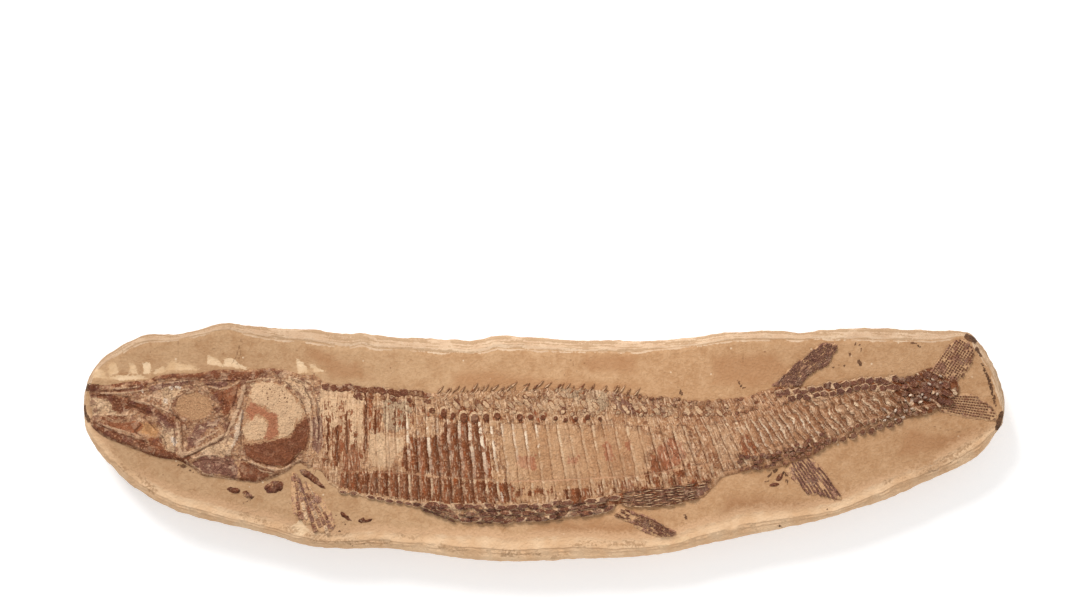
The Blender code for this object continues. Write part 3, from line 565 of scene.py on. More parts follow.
armour_loop = np.vstack([
    edge_of_table(BACK_EDGE, -150, 239), TAIL_ROOT, edge_of_table(BELLY_EDGE, -150, 234)[::-1],
])
sunk_beds = [
    np.array(shape, float)
    for shape in (SKULL_OUTLINE, armour_loop, BACK_FIN, VENT_FIN, UPPER_TAIL_LOBE, LOWER_TAIL_LOBE, BREAST_FIN,
                  PELVIC_FIN, SHOULDER_BONE, *LOOSE_BONES.values())
]

silhouette = closed_curve(NODULE_OUTLINE, STONE_STEP)
rim_width = np.clip(silhouette[:, 2] * (1 + 0.16 * lumps(silhouette[:, 0], silhouette[:, 1], 22, 11)), 1.6, None)
silhouette = silhouette[:, :2] + 0.35 * outwards(silhouette[:, :2]) * lumps(*silhouette[:, :2].T, 9, 12)[:, None]
outward = rounder(outwards(silhouette), 5, STONE_STEP)
rim = silhouette - outward * rim_width[:, None]
points, faces, from_rim = filled(rim, STONE_STEP)
x, y = points.T
height = face_height(x, y) - sunk(x, y)
chip_field = shape_field(x, y, PALE_CHIPS, 1.2)
height -= 0.3 * ramp(0.4, 0.8, chip_field) + 0.5 * ramp(2.5, 0, from_rim) * (1 + lumps(x, y, 6, 5))
height -= 0.6 * ramp(12, 0, from_rim) ** 2 * ramp(0, -30, y)
stone_points = [np.column_stack([x, y, height])]
stone_faces = list(faces)
count = len(rim)
ring_start, total = 0, len(points)
ring_numbers = [np.arange(count)]
share_of, depth_of = [np.zeros(len(points))], [np.zeros(len(points))]
for share, further, drop in SIDE_RINGS:
    broken = lumps(silhouette[:, 0], silhouette[:, 1] + 3 * drop, 7, 21) * (0.55 if -33 < drop else 0)
    inset = rim_width * share + further + broken * (1 if drop < -5 else 0.8 * min(1, 4 * (1 - share)))
    ring = rounder(silhouette - outward * inset[:, None], max(0.01, further * 0.9), STONE_STEP)
    level = FACE + drop + (0.3 * lumps(ring[:, 0], ring[:, 1], 8, 22) if -35.9 < drop else 0)
    if drop > -1:
        level = np.minimum(level, height[:count] - 0.05)
    stone_points.append(np.column_stack([ring, np.broadcast_to(level, count)]))
    numbers = total + np.arange(count)
    above = ring_numbers[-1]
    stone_faces += np.column_stack([above, numbers, np.roll(numbers, -1), np.roll(above, -1)]).tolist()
    ring_numbers.append(numbers)
    share_of.append(np.full(count, 1 - share))
    depth_of.append(np.full(count, -drop))
    total += count
stone_faces += [tuple(ring_numbers[-1][k] for k in face[::-1]) for face in flat_fill(stone_points[-1])]
stone_points = np.vstack(stone_points)
x, y, z = stone_points.T
share_of, depth_of = np.concatenate(share_of), np.concatenate(depth_of)
from_rim = np.concatenate([from_rim, np.zeros(total - len(from_rim))])
lower_side = ramp(0, -30, y) + ramp(40, 0, y) * ramp(-270, -290, x)
lower_side = np.maximum(lower_side, ramp(30, -5, y) * ramp(230, 275, x))
wavy = depth_of + 0.5 * lumps(x, y, 16, 31)
# Paler lower rim: partly real wear, partly painted light.
worn_and_lit_rim = ramp(4, 0, from_rim) * lower_side * (depth_of < 7)
lower_shade = shape_field(x, y, RUSTY_SHADOWS, 6.0) * lower_side
# Painted shade: darker along the slab by the table, darker still in the rusty shadows of the lower side, and less on
# the lower rim and the pale chips.
painted_shade_amount = np.interp(x, *np.array(STONE_PAINTED_SHADE).T) + 0.03 * lumps(x, y, 50, 42) + 0.12 * lower_shade
painted_shade_amount = painted_shade_amount * (1 - 0.5 * worn_and_lit_rim) * (1 - 0.6 * shape_field(x, y, PALE_CHIPS, 1.2))
stone_values = {
    "chip": shape_field(x, y, PALE_CHIPS, 1.2) * (depth_of < 2),
    "shadow": shape_field(x, y, RUSTY_SHADOWS, 6.0) * (depth_of < 1),
    "speck": shape_field(x, y, DARK_SPECKS, 0.9) * (depth_of < 6),
    "crack": shape_field(x, y, FINE_CRACKS, 0.7) * (depth_of < 1),
    "grit": 0.56 * ramp(0.1, 0.9, shape_field(x, y, GRIT_BANDS, 3.0)) * (depth_of < 8),
    "warm": ramp(-120, 60, x) * (0.8 + 0.2 * lumps(x, y, 60, 41)),
    "painted_dim": painted_shade_amount,
    "worn_and_lit_rim": worn_and_lit_rim,
    "ledge": np.where(
        depth_of > 0, np.clip(0.25 + share_of * 3, 0, 1), ramp(2.2, 0, from_rim) * (0.72 + 0.6 * lumps(x, y, 11, 45)),
    ) * (1 - 0.85 * lower_side),
    "peach": ramp(12, 0, from_rim) * lower_side,
    "lamina": (0.5 + 0.5 * np.sin(wavy * 6.0)) * (depth_of > 0.2) * (depth_of < 8) * (1 - 0.85 * lower_side),
    "skin": ramp(4.5 + 4 * lower_side, 8.0 + 5 * lower_side, depth_of),
}
stone = mesh_object("stone_nodule", stone_points, stone_faces, limestone, stone_values, 50)
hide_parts("stone")
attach(stone, "root")


# The scaled body: thin bony scales in slanting columns, petrified in the stone and split down their middle. Some
# still have their brown enamel, others have flaked to cream and tan, and it swells a little above the face.
STAINS = {
    "dark": (
        (0, ((-297.5, 38), (-293, 38), (-289, 37), (-289, 34.5), (-295, 32.5), (-298, 34))),
        (1.2, ((-290, 36.5), (-283, 37), (-272, 38.5), (-262, 39.5))),
        (0, ((-270, 37), (-264, 39), (-258, 39), (-257, 36), (-262, 34.5), (-270, 35.5))),
        (1.2, ((-283, 33.8), (-272, 34), (-262, 33.3))),
        (0, ((-255, 41), (-248, 43.5), (-240, 44.8), (-230, 45), (-222, 45.3), (-212, 47), (-195, 46), (-183, 47),
             (-175, 47.3), (-184, 44.5), (-190, 40.5), (-200, 40), (-215, 40.5), (-222, 41.5), (-231, 42), (-238, 41),
             (-246, 41), (-253, 39.5))),
        (3.2, ((-293, 31.5), (-285, 30), (-272, 27.5), (-262, 24.5), (-255, 21.5), (-247, 17), (-240, 13))),
        (0, ((-284, 29), (-270, 28.5), (-258, 24), (-250, 20), (-252, 16), (-262, 19), (-268, 22), (-275, 19.5),
             (-280, 23))),
        (1.6, ((-291, 17), (-282, 16.5), (-266, 16))),
        (6.0, ((-290, 11), (-280, 5), (-270, 1), (-260, -3), (-250, -7), (-240, -9.5), (-232, -12))),
        (1.6, ((-243, 21), (-238, 15.5), (-235, 13))),
        # The next line is painted shadow: the dark line beneath the cheek's ridge.
        (1.1, ((-234, -8.5), (-226, -5), (-219, -1), (-212, 0.5), (-209, 3), (-206, 8), (-204, 13))),
        (0, ((-197, -11), (-188, -14), (-180, -19), (-176, -22.5), (-183, -24.5), (-190, -26), (-197, -24.5),
             (-199, -18))),
        (0, ((-196, -1), (-188, -0.5), (-180, 0.5), (-172, 2.5), (-165, 3.5), (-161, 8), (-158, 14), (-154, 18),
             (-152, 10), (-153, 2), (-156, -6), (-160, -8), (-165, -13), (-170, -16), (-180, -15), (-188, -12.5),
             (-194, -8.5))),
        # Painted shadow behind the eye.
        (0, ((-210, 28), (-205, 28), (-203, 20), (-208, 18))),
        (0, ((-65, 13), (-50, 13), (-41, 11), (-39, 5), (-36, -5), (-34, -15), (-33, -23), (-50, -24), (-65, -22),
             (-80, -20), (-90, -19), (-93, -12), (-86, 3), (-76, 4), (-66, 5))),
        (0, ((-133, -20), (-120, -19), (-100, -18), (-85, -20.5), (-66, -22), (-50, -25), (-30, -26), (-21, -26),
             (-19, -38), (-40, -40), (-60, -39), (-85, -37.5), (-100, -35), (-115, -33.5), (-133, -30))),
        (4.5, ((-114.5, 34), (-114.5, 10))), (3.0, ((-115.5, 10), (-116, -4))), (3.6, ((-134, 10), (-134.5, -10))),
        (3.2, ((-127, 13), (-127.5, -6))), (2.0, ((-140, 12), (-140.5, -4))), (4.0, ((-108.5, 20), (-108, 8))),
        (4.0, ((-66.5, 21), (-65, 16.5))), (3.0, ((-60, 19), (-59, 15.5))), (5.5, ((-53, 20.5), (-51, 15))),
        (5.5, ((-47, 19), (-45, 14))), (4.0, ((-39, 18.5), (-37.5, 14.5))), (4.5, ((-31, 18.5), (-30, 16))),
        (4.0, ((-16.5, 17.5), (-15, 15))), (3.2, ((-9.5, 16), (-6.5, 18))), (3.0, ((-2.5, 15), (0, 17))),
        (2.5, ((13, 14), (14.5, 15.5))), (2.5, ((19.5, 14.5), (21.5, 16.5))), (3.5, ((27, 14.5), (29, 18))),
        (0, ((13, -31), (22, -29), (28, -30), (30, -36), (45, -34), (50, -33), (52, -38), (45, -42), (40, -45),
             (30, -47), (20, -47), (15, -41))),
        (0, ((5, -36), (10, -36), (12, -40), (5, -41))),
        (0, ((205, 42), (225, 41), (240, 43), (252, 48), (262, 45), (268, 40), (268, 33), (262, 27), (252, 20),
             (243, 21), (236, 29), (225, 33), (208, 37))),
        (0, ((150, 36), (182, 38), (200, 41), (212, 43), (212, 37), (200, 34.5), (182, 32.5), (150, 32.5))),
    ),
    "rust": (
        (0, ((-284, 14), (-272, 13), (-264, 14), (-261, 9), (-266, 5), (-276, 8), (-283, 10.5))),
        (0, ((-257, 2), (-250, 3), (-247, -2), (-249, -6), (-256, -3))),
        (0, ((-218, 35.5), (-208, 34), (-197, 39.5), (-198, 34), (-201, 26), (-205, 18), (-208, 17), (-211, 25),
             (-215, 31))),
        (0, ((-130, -3), (-122, -4), (-119, -9), (-119, -19), (-130, -19), (-131, -10))),
        (0, ((69, -8), (76, -6), (80, -14), (86, -18), (78, -20), (69, -20))),
        (0, ((127, 5), (131, 6), (137, -2), (136, -8), (131, -8), (127, -1))),
        (0, ((50, -25), (57, -24), (58, -32), (51, -31))),
    ),
    "amber": (
        (0, ((-262, 12), (-253, 12), (-249, 7), (-252, 4), (-260, 5), (-265, 8))),
    ),
    "red": (
        (0, ((-191, 25), (-186, 24), (-180, 21.5), (-173, 18), (-172, 12), (-173, 6), (-178, 2), (-181, 3), (-178, 9),
             (-180, 14), (-185, 20), (-190, 15), (-193, 18))),
        (0, ((70, -5), (82, 2), (90, 0), (92, -8), (88, -14), (80, -16), (75, -10))),
        (0, ((-17, -8), (-5, -8), (-5, -18), (-17, -16))), (0, ((16, -9), (22, -9), (22, -14), (16, -13))),
        (0, ((39, 4), (42, 0), (45, -6), (45, -12), (41, -12), (39, -4))), (0, ((53, 3), (56, 1), (56, -5), (53, -5))),
    ),
    "cream": (
        (0, ((-297, 31), (-288, 29), (-281, 28), (-277, 21), (-276, 18.5), (-285, 17.5), (-292, 17), (-297, 20))),
        (0, ((-190, 38), (-180, 39.5), (-172, 38.5), (-165, 33), (-159, 26), (-156, 19), (-160, 14), (-162, 8),
             (-166, 5), (-172, 3.5), (-173, 8), (-172, 14), (-175, 18), (-182, 23), (-189, 26), (-192, 31))),
        (0, ((-195, 12), (-190, 14), (-184, 17), (-180, 13), (-179, 8), (-181, 3), (-188, 1), (-194, 3), (-197, 8))),
        (0, ((-170, 41), (-160, 42.5), (-154, 41), (-152, 30), (-151, 20), (-154, 20), (-158, 27), (-164, 34),
             (-170, 38))),
        (0, ((-248, 12), (-243, 10), (-239, 6), (-238, -2), (-238, -8), (-245, -6), (-248, 0), (-249, 6))),
        (0, ((-249, 36), (-240, 38), (-236, 34), (-240, 28), (-246, 24), (-249, 28))),
        (0, ((-147, 36), (-140, 34), (-128, 33), (-117, 30), (-118, 10), (-125, -2), (-131, 5), (-140, 12),
             (-147, 15))),
        (0, ((-113, 6), (-106, 7), (-100, 4), (-92, 4), (-90, -4), (-97, -10), (-99, -15), (-107, -16), (-112, -14),
             (-114, -5))),
        (0, ((-124, 18), (-118, 16), (-117, 0), (-124, -3), (-126, 5))),
        (3.0, ((-97, -24), (-97, -35))), (1.2, ((-127, -20), (-126, -29))),
        (0, ((-222, -1), (-212, 3), (-206, 8), (-201, 0), (-204, -8), (-210, -14), (-216, -10), (-224, -6))),
    ),
    "white": (
        (2.2, ((-196, 19.5), (-198.5, 10), (-200, 3), (-203, -2.5))), (2.0, ((-246, 27), (-245.5, 26))),
        (1.6, ((-261, 34), (-260.5, 33))), (1.6, ((-239, 36), (-238, 35.5))), (1.4, ((-243, 36), (-242, 36))),
        (2.4, ((-241, 2), (-240, -1))), (1.4, ((-27.5, -33), (-27, -38))),
        # The next two white patches, at the stem end, are painted glints.
        (0, ((238, 25), (243, 28), (251, 27), (252, 31), (245, 32), (238, 29))), (2.0, ((229, 13), (234, 16.5))),
    ),
    "plum": (
        (0, ((-230, -13), (-222, -19), (-210, -21.5), (-199, -23), (-198, -15), (-206, -9), (-214, -8), (-222, -9))),
        (0, ((-232, -3), (-230, 4), (-226, 11), (-218, 14), (-211, 14.5), (-212, 12), (-220, 8), (-223, 2),
             (-228, -3))),
        (0, ((-250, 20), (-240, 13), (-238, 11), (-247, 9), (-252, 14))),
        (0, ((-222, 38), (-214, 40), (-206, 40), (-203, 37), (-212, 36))),
        (0, ((-151, 17), (-144, 17), (-143, 0), (-146, -8), (-151, -3))),
        (0, ((44, 33), (50, 34), (52, 27), (58, 29), (59, 19), (50, 20), (44, 24))),
        (0, ((-255, 37), (-240, 40), (-231, 41), (-231, 38), (-245, 36), (-255, 33))),
        (0, ((60, -31), (105, -27), (108, -30), (100, -36), (60, -41), (55, -38))),
    ),
    "grey": (
        (0, ((-105, 28), (-97, 28), (-88, 27), (-85, 22), (-87, 12), (-95, 7), (-102, 9), (-105, 15))),
        (0, ((5, 37), (15, 38.5), (19, 34), (30, 35), (40, 33), (43, 26), (38, 20), (30, 24), (20, 28), (8, 31))),
    ),
}


def stains(x, y):
    """How far each stain of the fossil reaches, at places on the face."""
    bent_x, bent_y = x + 0.9 * lumps(x, y, 5, 61), y + 0.9 * lumps(x, y, 5, 62)
    return {label: shape_field(bent_x, bent_y, shapes, 2.0) for label, shapes in STAINS.items()}


def fossil_finish(name, streaked=False, bite=1.7, mottle=1.0, lit_enamel=(180, 99, 51)):
    """Petrified bone: its colour along the fish, its stains and flakes, and the masks and grain its details need."""
    finish, tree, shader, grain = new_finish(name, 0.5, srgb(176, 128, 92))
    grain.inputs["Fine Size"].default_value = 0.0013
    grain.inputs["Broad Size"].default_value = 0.0048
    grain.inputs["Flake Size"].default_value = 0.0032
    grains = {k: grain.outputs[k] for k in ("Fine", "Broad", "Ragged", "Flakes", "Cracks")}
    fine, broad, uneven, flakes = (grains[k] for k in ("Fine", "Broad", "Ragged", "Flakes"))
    place = put(tree, "ShaderNodeTexCoord").outputs["Object"]
    place = put(tree, "ShaderNodeSeparateXYZ", {0: place})
    if streaked:
        column = put(tree, "ShaderNodeAttribute", attribute_name="column").outputs["Fac"]
        streak_place = put(tree, "ShaderNodeCombineXYZ", {
            0: sum_of(tree, sum_of(tree, column, sum_of(tree, uneven, 0.1, "MULTIPLY")), 6.0, "MULTIPLY"),
            1: sum_of(tree, place.outputs[1], 170.0, "MULTIPLY"),
        }).outputs[0]
        streaks = put(tree, "ShaderNodeTexNoise", {"Vector": streak_place, "Scale": 1.0, "Detail": 3.0}).outputs["Fac"]
        streaks = sum_of(tree, streaks, 0.5, "SUBTRACT")
        grains["Streaks"] = streaks
        uneven = sum_of(tree, sum_of(tree, uneven, 0.5, "MULTIPLY"), sum_of(tree, streaks, 0.75, "MULTIPLY"))
    tones = put(tree, "ShaderNodeValToRGB", {0: spread_flat(tree, place.outputs[0], -0.3, 0.3)})
    stops = ((0.0, (190, 144, 108)), (0.25, (200, 152, 112)), (0.45, (198, 150, 108)), (0.6, (194, 144, 103)),
             (0.72, (192, 140, 100)), (0.8, (178, 126, 88)), (0.9, (156, 106, 70)), (1.0, (134, 88, 58)))
    while len(tones.color_ramp.elements) < len(stops):
        tones.color_ramp.elements.new(0.5)
    for stop, (at, shade) in zip(tones.color_ramp.elements, stops):
        stop.position = at
        stop.color = srgb(*shade)
    colour = tones.outputs[0]
    calm = put(tree, "ShaderNodeAttribute", attribute_name="calm").outputs["Fac"]
    busy = sum_of(tree, 1.0, calm, "SUBTRACT")
    grains["Busy"] = busy
    for source, low, high, share, shade in (
        (broad, 0.2, 0.9, 0.5, (146, 90, 58)), (fine, 0.5, 1.0, 0.3, (240, 206, 172)), (fine, 0.45, 0.0, 0.3, (116, 66, 40)),
    ):
        amount = sum_of(tree, spread(tree, source, low, high, 0.0, share), busy, "MULTIPLY")
        colour = mixed(tree, amount, colour, srgb(*shade))
    layers = (
        ("grey", (146, 118, 88), (208, 182, 150), 0.8), ("cream", (212, 168, 128), (234, 198, 158), 0.94),
        ("plum", (96, 58, 50), (160, 112, 96), 0.85), ("amber", (186, 126, 76), (220, 168, 116), 0.8),
        ("rust", (112, 56, 30), (180, 106, 66), 0.86), ("dark", (66, 24, 5), lit_enamel, 0.95),
        ("red", (162, 92, 62), (192, 122, 88), 0.78), ("white", (220, 190, 160), (252, 232, 212), 0.95),
    )
    masks = {}
    speck = sum_of(tree, sum_of(tree, fine, 0.3, "MULTIPLY"), sum_of(tree, flakes, 0.3, "MULTIPLY"))
    speck = sum_of(tree, speck, spread(tree, broad, 0.2, 0.8, 0.0, 0.4))
    if streaked:
        streaky = sum_of(tree, sum_of(tree, streaks, 1.5, "MULTIPLY"), 0.42)
        speck = sum_of(tree, sum_of(tree, speck, 0.4, "MULTIPLY"), sum_of(tree, streaky, 0.6, "MULTIPLY"))
    speck_share = spread(tree, busy, 0.0, 1.0, 0.3, mottle)
    speck = sum_of(tree, sum_of(tree, sum_of(tree, speck, 0.42, "SUBTRACT"), speck_share, "MULTIPLY"), 0.42)
    for label, low, high, share in layers:
        torn = ragged_mask(tree, label, uneven, 0.8 if label == "white" else bite, 0.05)
        masks[label] = sum_of(tree, torn, share, "MULTIPLY")
        colour = mixed(tree, masks[label], colour, mixed(tree, speck, srgb(*low), srgb(*high)))
    # Painted glints: pale specks on the dark and plum enamel, for the lamp's highlights on its gloss.
    glints = sum_of(tree, sum_of(tree, masks["dark"], masks["plum"], "MAXIMUM"), spread(tree, fine, 0.74, 0.96), "MULTIPLY")
    glints = sum_of(tree, sum_of(tree, glints, 0.42, "MULTIPLY"), busy, "MULTIPLY")
    colour = mixed(tree, glints, colour, srgb(224, 172, 132))
    cracks = sum_of(tree, sum_of(tree, grains["Cracks"], 0.7, "MULTIPLY"), busy, "MULTIPLY")
    colour = mixed(tree, cracks, colour, srgb(76, 40, 24))
    tint = put(tree, "ShaderNodeAttribute", attribute_name="tint").outputs["Fac"]
    colour = mixed(tree, sum_of(tree, tint, 0.75, "MULTIPLY", True), colour, srgb(66, 30, 16))
    colour = mixed(tree, sum_of(tree, tint, -0.75, "MULTIPLY", True), colour, srgb(236, 202, 164))
    return finish, tree, shader, colour, masks, grains


def spread_flat(tree, value, low, high):
    """A value stretched from a range to 0 to 1, evenly."""
    return put(tree, "ShaderNodeMapRange", {0: value, 1: low, 2: high, 3: 0.0, 4: 1.0}).outputs[0]


def product(tree, *factors):
    """The product of several values or sockets."""
    total = factors[0]
    for factor in factors[1:]:
        total = sum_of(tree, total, factor, "MULTIPLY")
    return total


def random_of(tree, first, second):
    """A random value for a pair of whole numbers."""
    pair = put(tree, "ShaderNodeCombineXYZ", {0: first, 1: second}).outputs[0]
    return put(tree, "ShaderNodeTexWhiteNoise", {"Vector": pair}).outputs["Value"]


scale_finish, tree, shader, colour, masks, grains = fossil_finish("petrified_scales", streaked=True)
fine, broad, uneven, streaks = (grains[k] for k in ("Fine", "Broad", "Ragged", "Streaks"))
column, row, row_width, joint_share, folds = (
    put(tree, "ShaderNodeAttribute", attribute_name=label).outputs["Fac"]
    for label in ("column", "row", "row_width", "joints", "folds")
)
wobble = sum_of(tree, product(tree, uneven, spread(tree, folds, 0.0, 1.0, 0.13, 0.42)), column)
across = put(tree, "ShaderNodeMath", {0: wobble}, operation="FRACT").outputs[0]
number = put(tree, "ShaderNodeMath", {0: wobble}, operation="FLOOR").outputs[0]
row_number = put(tree, "ShaderNodeMath", {0: row}, operation="FLOOR").outputs[0]
down = put(tree, "ShaderNodeMath", {0: row}, operation="FRACT").outputs[0]
chance, column_chance = random_of(tree, number, row_number), random_of(tree, number, 77.0)
colour = mixed(tree, spread(tree, chance, 0.62, 1.0, 0.0, 0.3), colour, srgb(150, 96, 64))
paler = product(tree, spread(tree, chance, 0.4, 0.0, 0.0, 0.22), spread(tree, masks["dark"], 0.0, 1.0, 1.0, 0.2))
colour = mixed(tree, paler, colour, srgb(222, 186, 148))
streak_share = spread(tree, grains["Busy"], 0.0, 1.0, 0.12, 0.62)
colour = mixed(tree, product(tree, spread(tree, streaks, 0.02, 0.2), streak_share), colour, srgb(118, 66, 40))
pale_share = product(tree, streak_share, spread(tree, masks["dark"], 0.0, 1.0, 1.0, 0.8))
colour = mixed(tree, product(tree, spread(tree, streaks, -0.03, -0.18), pale_share), colour, srgb(244, 206, 170))
# Painted light and shade across each dark column: a reddish band, partly the enamel's own colour and partly painted
# highlight, then a darker far half, painted shade of the column's rounded face.
reddish_and_lit = product(
    tree, masks["dark"], spread(tree, across, 0.15, 0.4), spread(tree, across, 0.4, 0.75, 0.7, 0.0),
    spread(tree, broad, 0.35, 0.75), spread(tree, chance, 0.2, 0.9),
)
colour = mixed(tree, product(tree, reddish_and_lit, 0.8), colour, srgb(164, 86, 48))
colour = mixed(tree, product(tree, masks["dark"], spread(tree, across, 0.5, 0.9, 0.0, 0.45)), colour, srgb(64, 25, 8))
lit_fold = product(tree, folds, spread(tree, across, 0.02, 0.14), spread(tree, across, 0.26, 0.5, 1.0, 0.0))
colour = mixed(tree, product(tree, lit_fold, spread(tree, broad, 0.45, 0.85, 0.0, 0.8)), colour, srgb(234, 198, 162))
fold_shade = product(tree, folds, spread(tree, across, 0.5, 0.85), spread(tree, broad, 0.7, 0.2, 0.1, 0.7))
colour = mixed(tree, fold_shade, colour, srgb(108, 64, 38))
# Painted highlight: a pale line along the front ridge of each column of scales, stronger in the named patches, for the
# lamp's light off the ridges' glossy edges.
painted_highlight = ragged_mask(tree, "painted_highlight", uneven, 0.8, 0.2)
ridge_side = sum_of(tree, across, product(tree, painted_highlight, masks["dark"], 0.1), "SUBTRACT")
ridge = product(
    tree, spread(tree, across, 0.03, 0.08), spread(tree, ridge_side, 0.16, 0.34, 1.0, 0.0), joint_share,
    spread(tree, broad, 0.25, 0.65, 0.1, 1.0), spread(tree, column_chance, 0.0, 1.0, 0.3, 1.0),
    spread(tree, down, 0.3, 0.85, 1.0, 0.35),
)
ridge_highlight_colour = mixed(tree, painted_highlight, srgb(244, 212, 174), srgb(255, 230, 200))
colour = mixed(tree, product(tree, ridge, spread(tree, painted_highlight, 0.0, 1.0, 0.74, 1.0)), colour, ridge_highlight_colour)
nearest = sum_of(tree, across, sum_of(tree, 1.0, across, "SUBTRACT"), "MINIMUM")
joint = product(
    tree, spread(tree, nearest, 0.015, 0.065, 1.0, 0.0), spread(tree, broad, 0.0, 0.5, 0.4, 1.0), joint_share,
    spread(tree, column_chance, 1.0, 0.0, 0.35, 0.9),
)
row_near = product(tree, sum_of(tree, down, sum_of(tree, 1.0, down, "SUBTRACT"), "MINIMUM"), row_width)
row_near = sum_of(tree, row_near, sum_of(tree, uneven, 1.2, "MULTIPLY"))
seam = product(tree, spread(tree, row_near, 0.1, 0.6, 0.8, 0.0), joint_share, spread(tree, broad, 0.35, 0.8, 0.05, 0.9))
crease = sum_of(tree, joint, seam, "MAXIMUM")
crease = product(tree, crease, spread(tree, grains["Busy"], 0.2, 0.7, 0.6, 1.0))
colour = mixed(tree, product(tree, crease, 0.75), colour, srgb(112, 68, 42))
from_break = put(tree, "ShaderNodeMath", {0: row, 1: 4.0}, operation="SUBTRACT").outputs[0]
from_break = put(tree, "ShaderNodeMath", {0: from_break}, operation="ABSOLUTE").outputs[0]
break_line = product(
    tree, spread(tree, from_break, 0.3, 0.45, 1.0, 0.0), spread(tree, row_near, 0.25, 0.75, 0.85, 0.0), joint_share,
    spread(tree, grains["Busy"], 0.15, 0.55, 1.0, 0.45),
)
colour = mixed(tree, break_line, colour, srgb(216, 164, 126))
tree.links.new(colour, shader.inputs["Base Color"])
gloss = spread(tree, sum_of(tree, masks["dark"], masks["rust"]), 0.0, 0.8, 0.62, 0.3)
tree.links.new(gloss, shader.inputs["Roughness"])
roughen(tree, shader, sum_of(tree, sum_of(tree, fine, product(tree, streaks, 2.0)), product(tree, crease, 0.8), "SUBTRACT"), 0.00045)

COLUMN_PITCH = ((-146, 6.1), (-100, 6.5), (-40, 7.3), (60, 7.6), (100, 7.6), (125, 6), (140, 4.8), (165, 4.6), (185, 5.6),
                (260, 6.2))
COLUMN_LEAN = ((-146, 0.0), (-100, 0.03), (-40, 0.12), (0, 0.16), (60, 0.22), (100, 0.36), (130, 0.5), (160, 0.7),
               (200, 0.85), (260, 0.9))
BODY_MIDLINE = ((-146, 5), (-100, -2), (-40, -8), (20, -6), (70, -3), (120, 2), (160, 9), (200, 19), (240, 30), (262, 34))
ROW_LINES = (
    BACK_EDGE,
    ((-147, 34), (-130, 31.5), (-112, 30), (-95, 28.5), (-75, 27.5), (-25, 28), (5, 29), (35, 28.5), (62, 26), (90, 22),
     (116, 22), (135, 25), (155, 30), (180, 31.5), (210, 37), (240, 38.5), (265, 40)),
    ((-147, 31), (-112, 27), (-75, 23.5), (-55, 22.5), (-25, 21), (5, 20), (62, 18.5), (116, 18), (135, 20.5), (155, 24),
     (180, 27), (210, 33), (240, 34.5), (265, 36)),
    ((-147, 29), (-112, 24), (-95, 21.5), (-75, 17), (-55, 14.5), (-25, 12.5), (35, 11.5), (62, 10.5), (106, 11.5),
     (135, 15), (155, 18.5), (180, 22), (210, 28.5), (240, 31), (265, 33)),
    ((-147, -15), (-112, -19), (-95, -19.5), (-75, -21.5), (-25, -25), (5, -24.5), (62, -21.5), (90, -16.5),
     (116, -12), (135, -8), (155, -2), (180, 4.5), (210, 15), (240, 23), (265, 27)),
    ((-147, -18), (-140, -24.5), (-130, -29), (-112, -34), (-95, -37), (-55, -39.5), (-25, -40), (5, -38), (35, -34.5),
     (50, -32.5), (90, -28), (106, -25), (116, -19), (135, -15), (155, -9), (180, 1), (210, 11.5), (240, 19), (265, 24)),
    BELLY_EDGE,
)


def table_at(table, places):
    """A table's values read at places."""
    return np.interp(places, *np.array(table, float).T)


column_places = [-146.0]
while column_places[-1] < 262:
    column_places.append(column_places[-1] + float(table_at(COLUMN_PITCH, column_places[-1])))


def column_at(x, y):
    """Which column of scales a place lies in, with the share of the way across it."""
    foot = x.copy()
    for _ in range(10):
        foot = x - table_at(COLUMN_LEAN, foot) * (table_at(BODY_MIDLINE, foot) - y)
    return np.interp(foot, column_places, np.arange(len(column_places)))


def wavy_column_at(x, y):
    """The same, with the columns a little uneven, and more so towards the tail."""
    return column_at(x, y) + 0.1 * lumps(x, y, 16, 75) + 0.42 * ramp(112, 165, x) * lumps(x, y, 8, 85)


def row_at(x, y):
    """Which row of scales a place lies in, with the share of the way down it, and how wide that row is."""
    lines = np.array([table_at(line, x) for line in ROW_LINES])
    gaps = np.maximum(lines[:-1] - lines[1:], 0.5)
    passed = np.clip((lines[:-1] - y) / gaps, 0, 1)
    row = np.clip(passed.sum(axis=0), 0, len(gaps) - 0.001)
    return row, gaps[np.floor(row).astype(int), np.arange(len(x))]


def body_swell(x, y):
    """How far the body swells above the face between its back and its belly."""
    top, foot = table_at(BACK_EDGE, x), table_at(BELLY_EDGE, x)
    depth = np.maximum(top - foot, 4)
    across = np.clip(np.abs(2 * y - top - foot) / depth, 0, 1)
    return np.minimum(4.0, 0.075 * depth) * (1 - across**2.4) * (0.55 + 0.45 * ramp(-148, -125, x))


def relief_piece(name, outline, step, height, finish, values, foot=1.6, sharp=60):
    """A closed piece bedded in the face: height gives its top above the face, from x, y and the distance to its edge."""
    points, faces, from_edge = filled(outline, step)
    x, y = points.T
    top = np.column_stack([points, face_height(x, y) + height(x, y, from_edge)])
    bottom = np.column_stack([outline, FACE - foot + 0 * outline[:, 0]])
    count, total = len(outline), len(points)
    k = np.arange(count)
    faces = list(faces) + np.column_stack([k, total + k, total + (k + 1) % count, (k + 1) % count]).tolist()
    faces += [tuple(total + n for n in face[::-1]) for face in flat_fill(bottom)]
    everywhere = np.vstack([top, bottom])
    given = values(everywhere[:, 0], everywhere[:, 1])
    made = mesh_object(name, everywhere, faces, finish, given, sharp)
    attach(made, "root")
    return made


